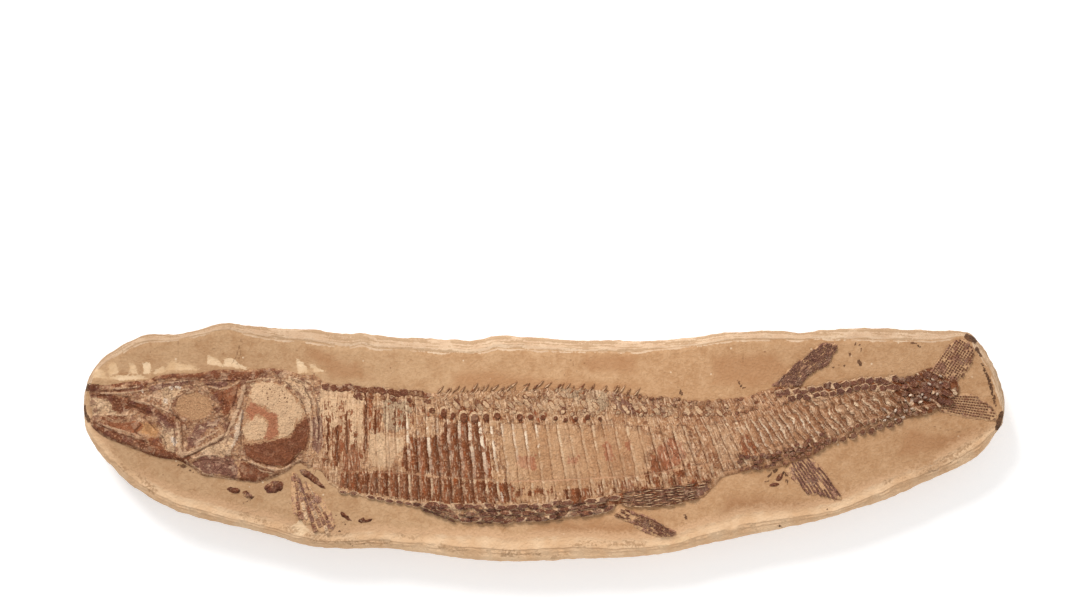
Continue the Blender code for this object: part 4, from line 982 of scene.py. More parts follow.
def armour_height(x, y, from_edge):
    """The relief of the scales over the swell of the body."""
    column, (row, row_width) = wavy_column_at(x, y), row_at(x, y)
    across, down = column % 1, row % 1
    plate = 0.3 * np.sin(np.pi * across) + 0.4 * np.exp(-(((across - 0.16) / 0.09) ** 2))
    joint = np.exp(-((np.minimum(across, 1 - across) / 0.055) ** 2))
    seam = np.exp(-((np.minimum(down, 1 - down) * row_width / 0.5) ** 2))
    worn = 0.22 * lumps(x, y, 4, 71) + 0.15 * lumps(x, y, 1.5, 72)
    worn = worn + 0.5 * ramp(-95, -120, x) * lumps(x, y * 0.16, 2.4, 73) + (
        ramp(120, 165, x) * (0.32 * np.sin(2 * np.pi * across) + 0.5 * lumps(x, y, 3.4, 76))
    )
    edge = ramp(0, 1.6, from_edge)
    return 0.45 + 0.4 * edge + body_swell(x, y) + edge * (plate - 0.42 * joint - 0.25 * seam + worn)


# Patches where the ridges of the scales carry a stronger painted highlight.
PAINTED_HIGHLIGHT_FRONTS = (
    (0, ((-92, 13), (-60, 15), (-20, 13), (0, 12), (0, 0), (-18, -12), (-30, -22), (-60, -22), (-80, -20), (-92, -4))),
    (0, ((135, 10), (160, 14), (185, 16), (180, 6), (160, -2), (140, -6))),
)
CALM_FLANK = ((0, ((-26, 10), (0, 10), (62, 9), (72, 2), (66, -8), (66, -20), (-16, -38), (-20, -26), (-28, -8))),)


MOTTLED = (
    (0, ((50, -22), (60, -24), (68, -10), (80, -6), (93, -10), (98, -18), (112, -18), (116, -22), (108, -28), (95, -33),
         (60, -34), (50, -33))),
    (0, ((-147, 28), (-136, 30), (-124, 24), (-119, 4), (-118, -18), (-140, -20), (-149, -10))),
    (0, ((-108, 30), (-80, 27), (-70, 20), (-86, 8), (-100, 8))),
    (0, ((122, 4), (134, 8), (141, -2), (141, -12), (130, -14), (120, -10))),
    (0, ((-22, -27), (-2, -27), (20, -30), (48, -26), (48, -34), (20, -38), (-20, -38))),
)


def armour_values(x, y):
    """The stains of the armour, and where its columns, rows and joints are."""
    row, row_width = row_at(x, y)
    edge_rows = ramp(3.02, 2.95, row) * ramp(-85, -65, x) * ramp(175, 150, x) + ramp(5.0, 5.05, row)
    given = stains(x, y)
    given["cream"] = np.maximum(given["cream"], 0.5 * ramp(5.0, 5.1, row) * ramp(52, 46, x))
    mottles = shape_field(x, y, MOTTLED, 5.0) * (0.44 + 0.3 * lumps(x, y, 5, 77) + 0.2 * lumps(x, y, 1.8, 78))
    given["dark"] = np.maximum(given["dark"], mottles * (given["rust"] < 0.4))
    cluttered = ramp(2.3, 2.1, row) * ramp(-80, -65, x) * ramp(130, 110, x)
    given["cream"] = np.maximum(given["cream"], cluttered * (0.36 - 0.16 * ramp(40, 80, x) + 0.35 * lumps(x, y, 6, 79)))
    smooth_front = 0.4 * ramp(0.4, 0.8, given["cream"]) * ramp(-70, -90, x)
    edge_rows = np.clip(edge_rows + cluttered, 0, 1)
    return {
        **given, "column": wavy_column_at(x, y), "row": row, "row_width": row_width,
        "joints": (0.15 + 0.85 * ramp(-125, -88, x)) * (1 - 0.8 * edge_rows),
        "folds": ramp(110, 160, x) * ramp(2.2, 2.5, row) * ramp(5.0, 4.9, row),
        "tint": 0.2 * lumps(x, y, 5, 74) + 0.08 * ramp(150, 215, x) + cluttered * (0.22 + 0.1 * ramp(50, 70, x))
        + 0.3 * ramp(205, 240, x),
        "painted_highlight": shape_field(x, y, PAINTED_HIGHLIGHT_FRONTS, 3.0),
        "calm": np.maximum(0.75 * ramp(0.2, 0.8, shape_field(x, y, CALM_FLANK, 5.0)), np.maximum(
            smooth_front, 0.6 * ramp(5.0, 5.1, row))),
    }


armour_outline = ragged(closed_curve(armour_loop, 0.7), 2.5, 0.5, 81)
armour = relief_piece("scaled_body", armour_outline, 0.62, armour_height, scale_finish, armour_values)
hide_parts("fish")


# The skull: crushed flat in the stone, its long jaws open at the left, with a smooth stone filling where the eye was
# and thin curved bones behind. The round gill cover is a separate bone that domes over the cheek's rear.
EYE = (-227.5, 23.5, 11.5, 8.5)
SKULL_SPOTS = (
    (-289, 36, 2.0), (-272, 37, 2.0), (-258, 38.5, 2.2), (-246, 41, 3.0), (-232, 42.5, 3.0), (-216, 44, 3.0),
    (-200, 43.5, 3.0), (-184, 44, 3.0), (-170, 44, 2.8), (-288, 33.8, 0.9), (-274, 33.5, 0.9), (-262, 33, 1.0),
    (-252, 34, 1.0), (-244, 37, 1.2), (-288, 30.5, 2.6), (-276, 28.5, 2.6), (-263, 26, 2.6), (-252, 21.5, 2.6),
    (-245, 15, 2.6), (-289, 24, 0.6), (-280, 23, 0.6), (-270, 20, 0.7), (-262, 18, 1.0), (-289, 15, 2.2),
    (-278, 15, 2.2), (-265, 14, 2.0), (-254, 9, 2.2), (-246, 3, 2.2), (-286, 8, 3.2), (-274, 3.5, 3.2),
    (-262, -1, 3.2), (-250, -5, 3.2), (-240, -7.5, 3.0), (-239, 11, 3.0), (-237, 3, 3.0), (-236.5, -5, 3.0),
    (-201, 30, 3.8), (-202, 20, 3.8), (-206, 10, 3.8), (-213, 3, 3.6), (-223, -2.5, 3.4), (-232, -7, 3.2),
    (-226, 9, 1.6), (-219, 10, 1.6), (-212, 14, 1.8), (-229, 1, 1.6), (-209, 35, 2.2), (-206, 27, 2.0),
    (-209, 20, 2.2), (-226, -12, 2.4), (-214, -8, 2.6), (-206, -14, 2.6), (-216, -17, 2.4), (-200, 14, 4.2),
    (-202, 6, 4.2), (-204, -2, 4.0), (-195, -16, 2.6), (-188, -21, 2.4), (-181, -20, 2.4), (-192, 30, 3.4),
    (-175, 38, 3.4), (-165, 41, 3.2), (-156, 38, 3.2), (-150, 30, 3.0), (-149, 20, 2.8), (-149, 8, 2.6),
    (-150, -4, 2.4), (-156, -12, 2.0), (-165, -16, 1.8), (-175, 10, 3.6),
)
# The skull's ridges: raised, and painted paler, tan bone that partly carries painted highlight.
SKULL_RIDGES = (
    (0.9, ((-288, 32.2), (-275, 32), (-262, 33.6), (-257, 34))), (0.7, ((-282, 35), (-272, 35.4), (-260, 36.5))),
    (1.0, ((-266, 27.2), (-254, 24.5), (-246, 21), (-241, 19.2))), (0.8, ((-262, 30.5), (-252, 29.5), (-247, 28))),
    (1.8, ((-238.5, 13), (-237.2, 6), (-236.8, 0), (-236.4, -7.5))),
    (2.4, ((-235, -8.4), (-226, -5), (-214, 1), (-206, 6), (-202, 14.5), (-198.5, 22), (-196.5, 30), (-194.5, 37))),
    (2.6, ((-196.6, 19.5), (-198.6, 9), (-200.5, 3), (-203, -2.5), (-205, -7))),
    (1.2, ((-195.6, -9.5), (-190, -12.8), (-183, -15.5), (-176, -17.4), (-170, -17.3), (-164, -14.5), (-158, -11))),
    (1.0, ((-222, -20), (-210, -22.6), (-198, -25.2), (-187.5, -26.2), (-180, -24.6), (-173.3, -22))),
    (1.0, ((-233, -11.5), (-228, -15), (-222, -18.5))), (0.9, ((-228, -10.5), (-220, -8), (-212, -8), (-205, -11))),
    (0.9, ((-292, 17.8), (-284, 18.4), (-274, 17.8), (-266, 18.6))), (0.8, ((-286, 11.2), (-276, 8.4), (-266, 5.6))),
    (0.9, ((-218, 36.5), (-211, 34.8), (-205, 35.5), (-199, 39))), (0.8, ((-193.5, 39.5), (-184, 41.4), (-176, 41))),
    (1.1, ((-170, 40.5), (-162, 38), (-157, 31), (-153, 22), (-151, 12), (-151, 2), (-153, -6))),
    (0.9, ((-166, 43), (-157, 40), (-152, 33), (-149, 24), (-147.6, 12), (-147.6, 0))),
    (0.8, ((-158, 42.6), (-151, 38), (-147.6, 28), (-146, 16))), (0.7, ((-224, 9), (-217, 11.5), (-211, 12))),
    (0.8, ((-229, 4), (-224, 1.5), (-217, 5), (-210, 9))), (0.7, ((-246, 38.5), (-236, 40), (-226, 40.6))),
    (0.8, ((-240, 30), (-236, 34), (-230, 35))), (0.8, ((-242, 27), (-243, 22), (-239, 17))),
    (0.8, ((-251, 15), (-246, 10), (-243, 4), (-242, -3))), (0.7, ((-189, -14.5), (-183, -18.5), (-177, -19.5))),
)
# The skull's creases: sunk, and painted dark as painted shade.
SKULL_CREASES = (
    (0.9, ((-293, 33.6), (-280, 33.2), (-266, 34.8))), (0.8, ((-294, 30.6), (-280, 30.4), (-266, 29))),
    (1.3, ((-243, 21.5), (-238.5, 16.5), (-235.6, 13.2))), (0.9, ((-235.4, 11), (-234.8, 3), (-234.4, -5))),
    (1.4, ((-233, -9.4), (-226, -6.8), (-219, -2.4), (-212, 0), (-208.5, 3), (-206, 8), (-204.2, 13))),
    (0.8, ((-240.5, 12), (-239.6, 2), (-239.6, -7))), (1.0, ((-195.3, 21), (-197, 8), (-196.4, -2))),
    (0.7, ((-239.8, 23.5), (-238, 29), (-233, 32.2))),
    (0.8, ((-196.5, -11), (-190, -14.6), (-183, -17.4), (-176, -19))), (0.8, ((-292, 13.2), (-278, 6.4), (-262, 1.5), (-248, -3.4))),
    (0.7, ((-259, 37.8), (-246, 39.8), (-232, 41), (-216, 40.2), (-200, 39.8))),
    (1.0, ((-199, 36), (-200.5, 28), (-203.5, 20), (-206.5, 14))), (0.7, ((-222, 13.4), (-214, 15.4), (-209, 17))),
    (0.7, ((-168, 39.5), (-160.5, 33), (-156, 24), (-153.6, 14), (-153.2, 4))),
    (0.7, ((-164, 41), (-155.5, 36.5), (-151.4, 27), (-149.6, 15), (-149.4, 3), (-151.5, -7))),
    (0.7, ((-157, 41.2), (-150, 36), (-147, 25), (-146, 12), (-146.2, -2))), (0.6, ((-230, 35.2), (-220, 37.5), (-210, 37.2))),
    (0.7, ((-257, 14), (-252, 8), (-247, 3), (-245, -4))), (0.7, ((-270, 24), (-262, 22), (-254, 17.5))),
    (0.8, ((-229, -13), (-220, -11), (-211, -11.5), (-203, -15))), (0.7, ((-262, 11.5), (-266, 7.5), (-262, 4.4))),
)


SMOOTH_BONE = (
    (0, ((-200, -12), (-188, -14), (-180, -19), (-176, -22.5), (-183, -24.5), (-190, -26), (-199, -24.5))),
    (2.6, ((-256, 40.5), (-246, 43), (-232, 43.4), (-215, 44.5), (-198, 45), (-184, 46))),
    (0, ((-265, 12), (-252, 12), (-248, 5), (-256, 2), (-264, 6))),
    (3.0, ((-286, 13), (-276, 11), (-268, 10))), (3.0, ((-252, -2), (-250, -5))),
    (3.0, ((-205, 35), (-204, 26), (-206, 19))), (3.4, ((-226, 6), (-216, 11))),
)


def skull_height(x, y, from_edge):
    """The crushed bones: low smooth mounds, thin ridges and creases, and the smooth filling of the eye."""
    weights, total = 0.02, 0.02 * 1.6
    for spot_x, spot_y, level in SKULL_SPOTS:
        near = np.exp(-((x - spot_x) ** 2 + (y - spot_y) ** 2) / 26)
        weights, total = weights + near, total + near * level
    bones = total / weights
    bones = bones + 0.6 * ramp(0.2, 0.9, shape_field(x, y, SKULL_RIDGES, 0.7))
    bones = bones - 0.5 * ramp(0.3, 0.9, shape_field(x, y, SKULL_CREASES, 0.6))
    bones = bones + 0.35 * lumps(x, y, 5, 91) + 0.5 * lumps(x, y, 1.9, 92)
    in_eye = ((x - EYE[0]) / EYE[2]) ** 2 + ((y - EYE[1]) / EYE[3]) ** 2
    filling = ramp(1.12, 0.86, in_eye)
    bones = bones * (1 - filling) + filling * (1.3 + 0.1 * lumps(x, y, 7, 93))
    rear = ramp(-158, -146, x)
    bones = bones * (1 - rear) + rear * (1.35 + body_swell(x, y) + 0.2 * lumps(x, y, 1.7, 92))
    return 0.35 + (bones - 0.35) * ramp(0, 2.2, from_edge)


def skull_values(x, y):
    """The stains of the skull, and its creases, ridges and the filling of the eye."""
    in_eye = ((x - EYE[0]) / EYE[2]) ** 2 + ((y - EYE[1]) / EYE[3]) ** 2
    clear = ramp(0.8, 1.1, in_eye)
    given = {label: field * clear for label, field in stains(x, y).items()}
    return {
        **given, "eye": ramp(1.12, 0.86, in_eye + 0.2 * lumps(x, y, 7, 99)), "ridge": shape_field(x, y, SKULL_RIDGES, 0.8) * clear,
        "crease": shape_field(x, y, SKULL_CREASES, 0.7) * clear,
        "tint": (0.14 + 0.5 * lumps(x, y, 4, 94)) * clear + 0.7 * ramp(-289, -292, x) * ramp(31, 33, y),
        "calm": 0.75 * shape_field(x, y, SMOOTH_BONE, 1.5),
    }


def bone_material(name, shine):
    """Petrified bone in crushed flakes, duller or shinier, with the ridges that a mesh names made paler, partly by
    painted highlight, and its creases made darker by painted shade.
    """
    finish, tree, shader, colour, masks, grains = fossil_finish(name, bite=1.25, mottle=0.6, lit_enamel=(166, 98, 64))
    fine, broad, uneven, flakes, busy = (grains[k] for k in ("Fine", "Broad", "Ragged", "Flakes", "Busy"))
    place = put(tree, "ShaderNodeTexCoord").outputs["Object"]
    crystal = put(tree, "ShaderNodeTexVoronoi", {"Vector": place, "Scale": 620.0})
    colour = mixed(tree, product(tree, spread(tree, crystal.outputs["Distance"], 0.3, 0.75, 0.0, 0.3), busy), colour,
                   srgb(116, 74, 54))
    colour = mixed(tree, product(tree, spread(tree, flakes, 0.84, 0.92), busy, 0.36 - 0.6 * shine), colour,
                   srgb(230, 194, 160))
    colour = mixed(tree, product(tree, spread(tree, flakes, 0.2, 0.12), busy, 0.45), colour, srgb(108, 62, 52))
    # Paler ridges, partly painted highlight, and darker creases, painted shade.
    colour = mixed(tree, product(tree, ragged_mask(tree, "ridge", uneven, 1.3, 0.14), 0.5), colour, srgb(222, 184, 148))
    colour = mixed(tree, product(tree, ragged_mask(tree, "crease", uneven, 1.3, 0.12), 0.62), colour, srgb(90, 50, 32))
    random_dot = put(tree, "ShaderNodeSeparateColor", {0: crystal.outputs["Color"]}).outputs[0]
    dots = product(tree, spread(tree, crystal.outputs["Distance"], 0.42, 0.3), spread(tree, random_dot, 0.52, 0.55),
                   ragged_mask(tree, "pores", uneven, 1.6, 0.1))
    colour = mixed(tree, product(tree, dots, 0.85), colour, srgb(104, 66, 40))
    eye = put(tree, "ShaderNodeAttribute", attribute_name="eye").outputs["Fac"]
    colour = mixed(tree, eye, colour, mixed(tree, fine, srgb(172, 128, 92), srgb(188, 144, 106)))
    tree.links.new(colour, shader.inputs["Base Color"])
    shader.inputs["Specular IOR Level"].default_value = shine
    gloss = spread(tree, sum_of(tree, masks["dark"], masks["rust"]), 0.0, 0.8, 0.6, 0.3)
    tree.links.new(gloss, shader.inputs["Roughness"])
    roughen(tree, shader, sum_of(tree, sum_of(tree, fine, broad), crystal.outputs["Distance"]), 0.00045)
    return finish


bone_finish = bone_material("petrified_bone", 0.12)
enamel_finish = bone_material("shiny_enamel", 0.3)

skull_outline = ragged(closed_curve(SKULL_OUTLINE, 0.6), 2.2, 0.35, 95)
skull = relief_piece("skull", skull_outline, 0.5, skull_height, bone_finish, skull_values)
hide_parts("fish")

GILL_COVER = (
    (-183, 40), (-172, 39), (-165, 34), (-158, 26), (-154, 18), (-152, 10), (-153, 2), (-156, -6), (-160, -8),
    (-165, -13), (-170, -16), (-180, -14.5), (-188, -12), (-194, -8), (-195, -3), (-197, 6), (-196, 15), (-195, 22),
    (-192, 32), (-190, 38),
)


PITTED = (
    (0, ((-188, 34), (-182, 38), (-170, 37), (-163, 30), (-166, 24), (-176, 26), (-184, 27))),
    (0, ((-191, 9), (-186, 11), (-181, 8), (-182, 2), (-188, 2))), (2.0, ((-167, 18), (-164, 12))),
)


def gill_height(x, y, from_edge):
    """A shallow dome, thickest a little behind its middle, with faint growth rings."""
    out = np.hypot((x + 175) / 22, (y - 12) / 27.5)
    dome = np.interp(out, (0, 0.33, 0.66, 0.92, 1.1), (6.3, 6.0, 5.1, 3.9, 3.0))
    rings = 0.05 * np.sin(out * 44 + lumps(x, y, 9, 96)) + 0.14 * lumps(x, y, 3, 97)
    flaked = 0.28 * ramp(0.45, 0.62, shape_field(x, y, STAINS["cream"][1:3], 1.0))
    return 2.2 + (dome + rings + flaked - 2.2) * ramp(0, 1.1, from_edge)


def gill_values(x, y):
    """The stains of the gill cover, and where its surface is pitted."""
    given = stains(x + 1.3 * lumps(x, y, 3.2, 141), y + 1.3 * lumps(x, y, 3.2, 142))
    return {**given, "tint": 0.12 + 0.14 * lumps(x, y, 6, 98), "calm": np.full(len(x), 0.8),
            "pores": 0.7 * shape_field(x, y, PITTED, 3.0)}


gill_outline = closed_curve(GILL_COVER, 0.6)
gill_cover = relief_piece("gill_cover", gill_outline, 0.5, gill_height, bone_finish, gill_values)
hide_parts("fish")


# The fins: a thin film of stone-stained skin over each, with rays of small bony segments that fan out from its base.
# The long first rays of the breast fin are thick and plain.
RAYS = {
    "back_fin": (BACK_FIN, ((150, 38), (168, 37), (178, 66), (193, 57)), 12, 3.4, 0.03, 0.64, "fish"),
    "vent_fin": (VENT_FIN, ((159, -15), (176, -9), (172, -36), (196, -34)), 10, 3.4, 0.04, 0.5, "fish"),
    "upper_tail_lobe": (UPPER_TAIL_LOBE, ((250, 47), (268, 36), (264, 68), (281, 56)), 12, 1.6, 0.24, 0.42, "fish"),
    "lower_tail_lobe": (LOWER_TAIL_LOBE, ((262, 31), (257, 20.5), (287, 30), (294, 14)), 8, 1.8, 0.24, 0.2, "fish"),
    "breast_fin": (BREAST_FIN, ((-163, -21), (-153, -27), (-160, -50), (-136, -56)), 6, 6.2, 0.03, 0.42, "pectoral_fin"),
    "belly_fin": (PELVIC_FIN, ((46, -48), (52, -43), (80, -63), (88, -57)), 8, 3.4, 0.03, 0.6, "pelvic_fin"),
}


def ray_share(x, y, ends):
    """How far across a fan of rays a place lies, from 0 at its first ray to 1 at its last, and how far along."""
    (first, last, first_tip, last_tip) = (np.array(p, float) for p in ends)
    share, along = np.full(len(x), 0.5), np.full(len(x), 0.5)
    for _ in range(12):
        base, tip = first + share[:, None] * (last - first), first_tip + share[:, None] * (last_tip - first_tip)
        ray = tip - base
        reach = np.column_stack([x, y]) - base
        along = (reach * ray).sum(axis=1) / (ray**2).sum(axis=1)
        across = (last - first) + along[:, None] * ((last_tip - first_tip) - (last - first))
        off = np.column_stack([x, y]) - (base + along[:, None] * ray)
        share = share + 0.9 * (off * across).sum(axis=1) / np.maximum((across**2).sum(axis=1), 1)
    return share, along


fin_finish, tree, shader, colour, masks, grains = fossil_finish("fin_film")
film_share = product(tree, spread(tree, grains["Broad"], 0.0, 1.0, 0.85, 0.5), sum_of(tree, 1.0, masks["plum"], "SUBTRACT"))
colour = mixed(tree, film_share, colour, srgb(206, 164, 122))
tree.links.new(colour, shader.inputs["Base Color"])
roughen(tree, shader, sum_of(tree, grains["Fine"], grains["Broad"]), 0.00025)

ray_points = []
for name, (outline, ends, ray_count, segment, gap, stain, stands_for) in RAYS.items():
    def fin_height(x, y, from_edge):
        """The film of the fin, raised along each ray."""
        share, _ = ray_share(x, y, ends)
        rays = np.cos(2 * np.pi * ray_count * share)
        return 0.15 + ramp(0, 1.4, from_edge) * (0.85 + 0.22 * rays + 0.15 * lumps(x, y, 2.2, 101))

    def fin_values(x, y):
        """The stains of the fin."""
        stained = stain + 0.2 * lumps(x, y, 5, 104)
        return {"tint": 0.15 * lumps(x, y, 3.5, 102), "plum": stained * (ramp(50, 63, x) if name == "belly_fin" else 1)}

    edge = ragged(closed_curve(outline, 0.55), 1.8, 0.55, 103)
    fin = relief_piece(name, edge, 0.6, fin_height, fin_finish, fin_values)
    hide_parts(stands_for)


# The loose bones: dark broken bits that lie in the stone under the throat and in front of the vent fin.
def loose_height(x, y, from_edge):
    """A low broken lump."""
    return 0.3 + 1.15 * ramp(0, 1.6, from_edge) + 0.22 * lumps(x, y, 1.6, 111)


def loose_values(x, y):
    """Loose bones are dark all over, in patches."""
    return {
        "dark": 0.55 + 0.5 * lumps(x, y, 2.4, 112), "plum": 0.6 + 0.5 * lumps(x, y, 2.0, 115),
        "tint": 0.5 + 1.0 * lumps(x, y, 1.8, 113),
    }


for name, outline in {"shoulder_bone": SHOULDER_BONE, **LOOSE_BONES}.items():
    edge = ragged(closed_curve(outline, 0.4), 1.6, 0.55, 114)
    bone = relief_piece("loose_" + name, edge, 0.4, loose_height, bone_finish, loose_values)
    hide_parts(name)


# The small thick scales that stand proud of the armour: reddish ones along the nape, thin slanting spines and lozenges
# on the back, dark bricks along the belly, and a coat of dark lozenges and beads on the tail stem.
def laid_pieces_tree():
    """Geometry Nodes that lay a small domed piece on every point, turned and sized by the point's own values."""
    tree = bpy.data.node_groups.new("laid_pieces", "GeometryNodeTree")
    for label, kind, value in (
        ("Geometry", "NodeSocketGeometry", None), ("Sides", "NodeSocketInt", 6),
        ("Corner Turn", "NodeSocketFloat", 0.0), ("Top Share", "NodeSocketFloat", 0.7),
        ("Tilt", "NodeSocketFloat", 0.1), ("Seed", "NodeSocketInt", 1), ("Finish", "NodeSocketMaterial", None),
    ):
        socket = tree.interface.new_socket(label, in_out="INPUT", socket_type=kind)
        if value is not None:
            socket.default_value = value
    tree.interface.new_socket("Geometry", in_out="OUTPUT", socket_type="NodeSocketGeometry")
    given = tree.nodes.new("NodeGroupInput").outputs
    piece = put(tree, "GeometryNodeMeshCone", {
        "Vertices": given["Sides"], "Side Segments": 1, "Fill Segments": 2, "Radius Top": given["Top Share"],
        "Radius Bottom": 1.0, "Depth": 1.0,
    }, fill_type="TRIANGLE_FAN")
    turn = put(tree, "ShaderNodeCombineXYZ", {2: given["Corner Turn"]})
    piece = put(tree, "GeometryNodeTransform", {"Geometry": piece.outputs["Mesh"], "Rotation": turn.outputs[0]})
    place = put(tree, "ShaderNodeSeparateXYZ", {0: put(tree, "GeometryNodeInputPosition").outputs[0]})
    out = put(tree, "ShaderNodeMath", {
        0: sum_of(tree, sum_of(tree, place.outputs[0], 2.0, "POWER"), sum_of(tree, place.outputs[1], 2.0, "POWER")),
        1: 1.0,
    }, operation="ADD").outputs[0]
    crown = sum_of(tree, sum_of(tree, 0.5, out, "DIVIDE"), sum_of(tree, place.outputs[2], 0.6, "GREATER_THAN"), "MULTIPLY")
    raised = put(tree, "ShaderNodeCombineXYZ", {2: crown})
    piece = put(tree, "GeometryNodeSetPosition", {"Geometry": piece.outputs[0], "Offset": raised.outputs[0]})
    heading = put(tree, "GeometryNodeInputNamedAttribute", {"Name": "turn"}, data_type="FLOAT").outputs["Attribute"]
    size = put(tree, "GeometryNodeInputNamedAttribute", {"Name": "size"}, data_type="FLOAT_VECTOR").outputs["Attribute"]
    lean = []
    for further in (0, 1):
        lean.append(put(tree, "FunctionNodeRandomValue", {
            2: sum_of(tree, given["Tilt"], -1.0, "MULTIPLY"), 3: given["Tilt"],
            "Seed": sum_of(tree, given["Seed"], float(further)),
        }, data_type="FLOAT").outputs[1])
    rotation = put(tree, "ShaderNodeCombineXYZ", {0: lean[0], 1: lean[1], 2: heading})
    laid = put(tree, "GeometryNodeInstanceOnPoints", {
        "Points": given["Geometry"], "Instance": piece.outputs[0], "Rotation": rotation.outputs[0], "Scale": size,
    })
    whole = put(tree, "GeometryNodeRealizeInstances", {0: laid.outputs[0]})
    dressed = put(tree, "GeometryNodeSetMaterial", {0: whole.outputs[0], "Material": given["Finish"]})
    put(tree, "NodeGroupOutput", {0: dressed.outputs[0]})
    return tree


laid_pieces = laid_pieces_tree()


def lay(name, points, finish, stands_for, shade_sharp=35, **settings):
    """Small pieces on points of (x, y, z, turn in degrees, length, width, thickness, tint, values of its stains)."""
    mesh = bpy.data.meshes.new(name + "_points")
    mesh.from_pydata([(x * MM, y * MM, z * MM) for x, y, z, *_ in points], [], [])
    columns = {"turn": [np.radians(p[3]) for p in points], "tint": [p[7] for p in points]}
    for label in sorted({key for p in points for key in p[8]}):
        columns[label] = [p[8].get(label, 0.0) for p in points]
    for label, numbers in columns.items():
        mesh.attributes.new(label, "FLOAT", "POINT").data.foreach_set("value", np.array(numbers, np.float32))
    sizes = np.array([(p[4] / 2, p[5] / 2, p[6]) for p in points], np.float32) * MM
    mesh.attributes.new("size", "FLOAT_VECTOR", "POINT").data.foreach_set("vector", sizes.ravel())
    seeded = bpy.data.objects.new(name + "_points", mesh)
    bpy.context.collection.objects.link(seeded)
    modifier = seeded.modifiers.new("laid_pieces", "NODES")
    modifier.node_group = laid_pieces
    identifiers = {s.name: s.identifier for s in laid_pieces.interface.items_tree if s.in_out == "INPUT"}
    for label, value in {"Finish": finish, **settings}.items():
        modifier[identifiers[label]] = value
    evaluated = seeded.evaluated_get(bpy.context.evaluated_depsgraph_get())
    laid_mesh = bpy.data.meshes.new_from_object(evaluated)
    seeded.modifiers.remove(modifier)
    bpy.data.objects.remove(seeded)
    laid_mesh.shade_smooth()
    laid_mesh.set_sharp_from_angle(angle=np.radians(shade_sharp))
    made = bpy.data.objects.new(name, laid_mesh)
    bpy.context.collection.objects.link(made)
    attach(made, "root")
    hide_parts(*stands_for)
    return made


def armour_top(x, y):
    """Height of the armour without the relief of its scales."""
    return float(face_height(x, y) + 0.8 + body_swell(np.array([x]), np.array([y]))[0])


def scale_row(path, spacing, length, width, thick, turn, tint, seed, stain=None, lift=0.0, loss=0.0, wander=0.35):
    """Scales along a path, each a little different, with some lost."""
    path = np.array(path, float)
    chance = np.random.default_rng(seed)
    gone = np.concatenate([[0], np.cumsum(np.hypot(*np.diff(path, axis=0).T))])
    laid = []
    for at in np.arange(0.5 * spacing, gone[-1], spacing):
        at += chance.uniform(-0.12, 0.12) * spacing
        x, y = np.interp(at, gone, path[:, 0]), np.interp(at, gone, path[:, 1])
        along = np.interp(at + 1, gone, path[:, 0]) - x, np.interp(at + 1, gone, path[:, 1]) - y
        heading = np.degrees(np.arctan2(along[1], along[0])) if at + 1 < gone[-1] else 0
        x, y = x + chance.uniform(-wander, wander), y + chance.uniform(-wander, wander)
        swing, grow, shade, drop = chance.uniform(-9, 9), chance.uniform(0.82, 1.15), chance.normal(0, 0.16), chance.uniform()
        if drop < loss:
            continue
        angle = (turn if turn is not None else heading) + swing
        laid.append((x, y, armour_top(x, y) + lift, angle, length * grow, width * grow, thick, tint + shade, dict(stain or {})))
    return laid


def rimmed(points, rim=0.9, drop=0.3, tint=-0.35, stain=None):
    """The same pieces, each with a slightly larger one a little below it: paler by default, and where given a darker
    stain, a painted shadow round the piece.
    """
    under = []
    for x, y, z, turn, length, width, thick, _, _ in points:
        under.append((x, y, z - drop, turn, length + rim, width + rim, thick, tint, stain or {"cream": 0.5}))
    return under + points


scales = []
nape = scale_row(((-145, 37), (-128, 34.8), (-112, 33.4), (-95, 31.8), (-74, 30.6)), 5.2, 8.8, 5.8, 0.8, -12, 0.4, 1,
                 {"dark": 0.7}, 0.0, 0.02, 0.8)
nape += scale_row(((-123, 31), (-116, 28)), 4.0, 6.5, 5.5, 0.6, -30, 0.4, 8, {"dark": 0.7}, -0.1)
nape += scale_row(((-120, 29.5), (-95, 27.6), (-70, 26)), 6.0, 5.4, 4.2, 0.6, -35, 0.3, 2, {"dark": 0.56}, -0.1, 0.3, 0.9)
spines = []
for shift, seed in ((0.9, 3), (-2.2, 19), (-5.4, 4)):
    path = ((-68, 31.6 + shift), (-50, 33.5 + shift), (-25, 34.2 + shift), (5, 36 + shift), (35, 34.6 + shift), (60, 30.5 + shift))
    pale_spines = scale_row(path, 4.3, 8.8, 1.3, 0.5, 47, 0.08, seed, {"cream": 0.85, "calm": 0.4}, -0.4, 0.34, 2.3)
    # Rust-coloured outlines under the pale spines: painted shadow.
    spines += rimmed(pale_spines, 0.5, 0.15, 0.0, {"rust": 0.6})
    spines += scale_row(path, 7.4, 5.4, 1.4, 0.5, 54, 0.1, seed + 10, {"dark": 0.5}, -0.5, 0.35, 1.6)
lozenges = scale_row(((-60, 25), (-18, 24.5), (5, 24), (35, 24), (62, 22.5), (90, 20.5), (116, 20)), 6.8, 8.8, 4.0, 0.8, -54,
                     0.14, 6, {"cream": 0.8, "calm": 0.4}, 0.1, 0.12, 1.2)
lozenges += scale_row(((-40, 29.5), (35, 29), (62, 26), (90, 23.5), (120, 23)), 6.2, 7.0, 3.0, 0.7, -48, 0.2, 7,
                      {"cream": 0.65, "calm": 0.2}, 0.1, 0.25, 1.4)
lozenges += scale_row(((-45, 20.5), (5, 20), (62, 18.5), (112, 18.5)), 7.4, 4.4, 3.4, 0.6, 40, 0.14, 16, {"cream": 0.6}, 0.1, 0.3, 1.4)
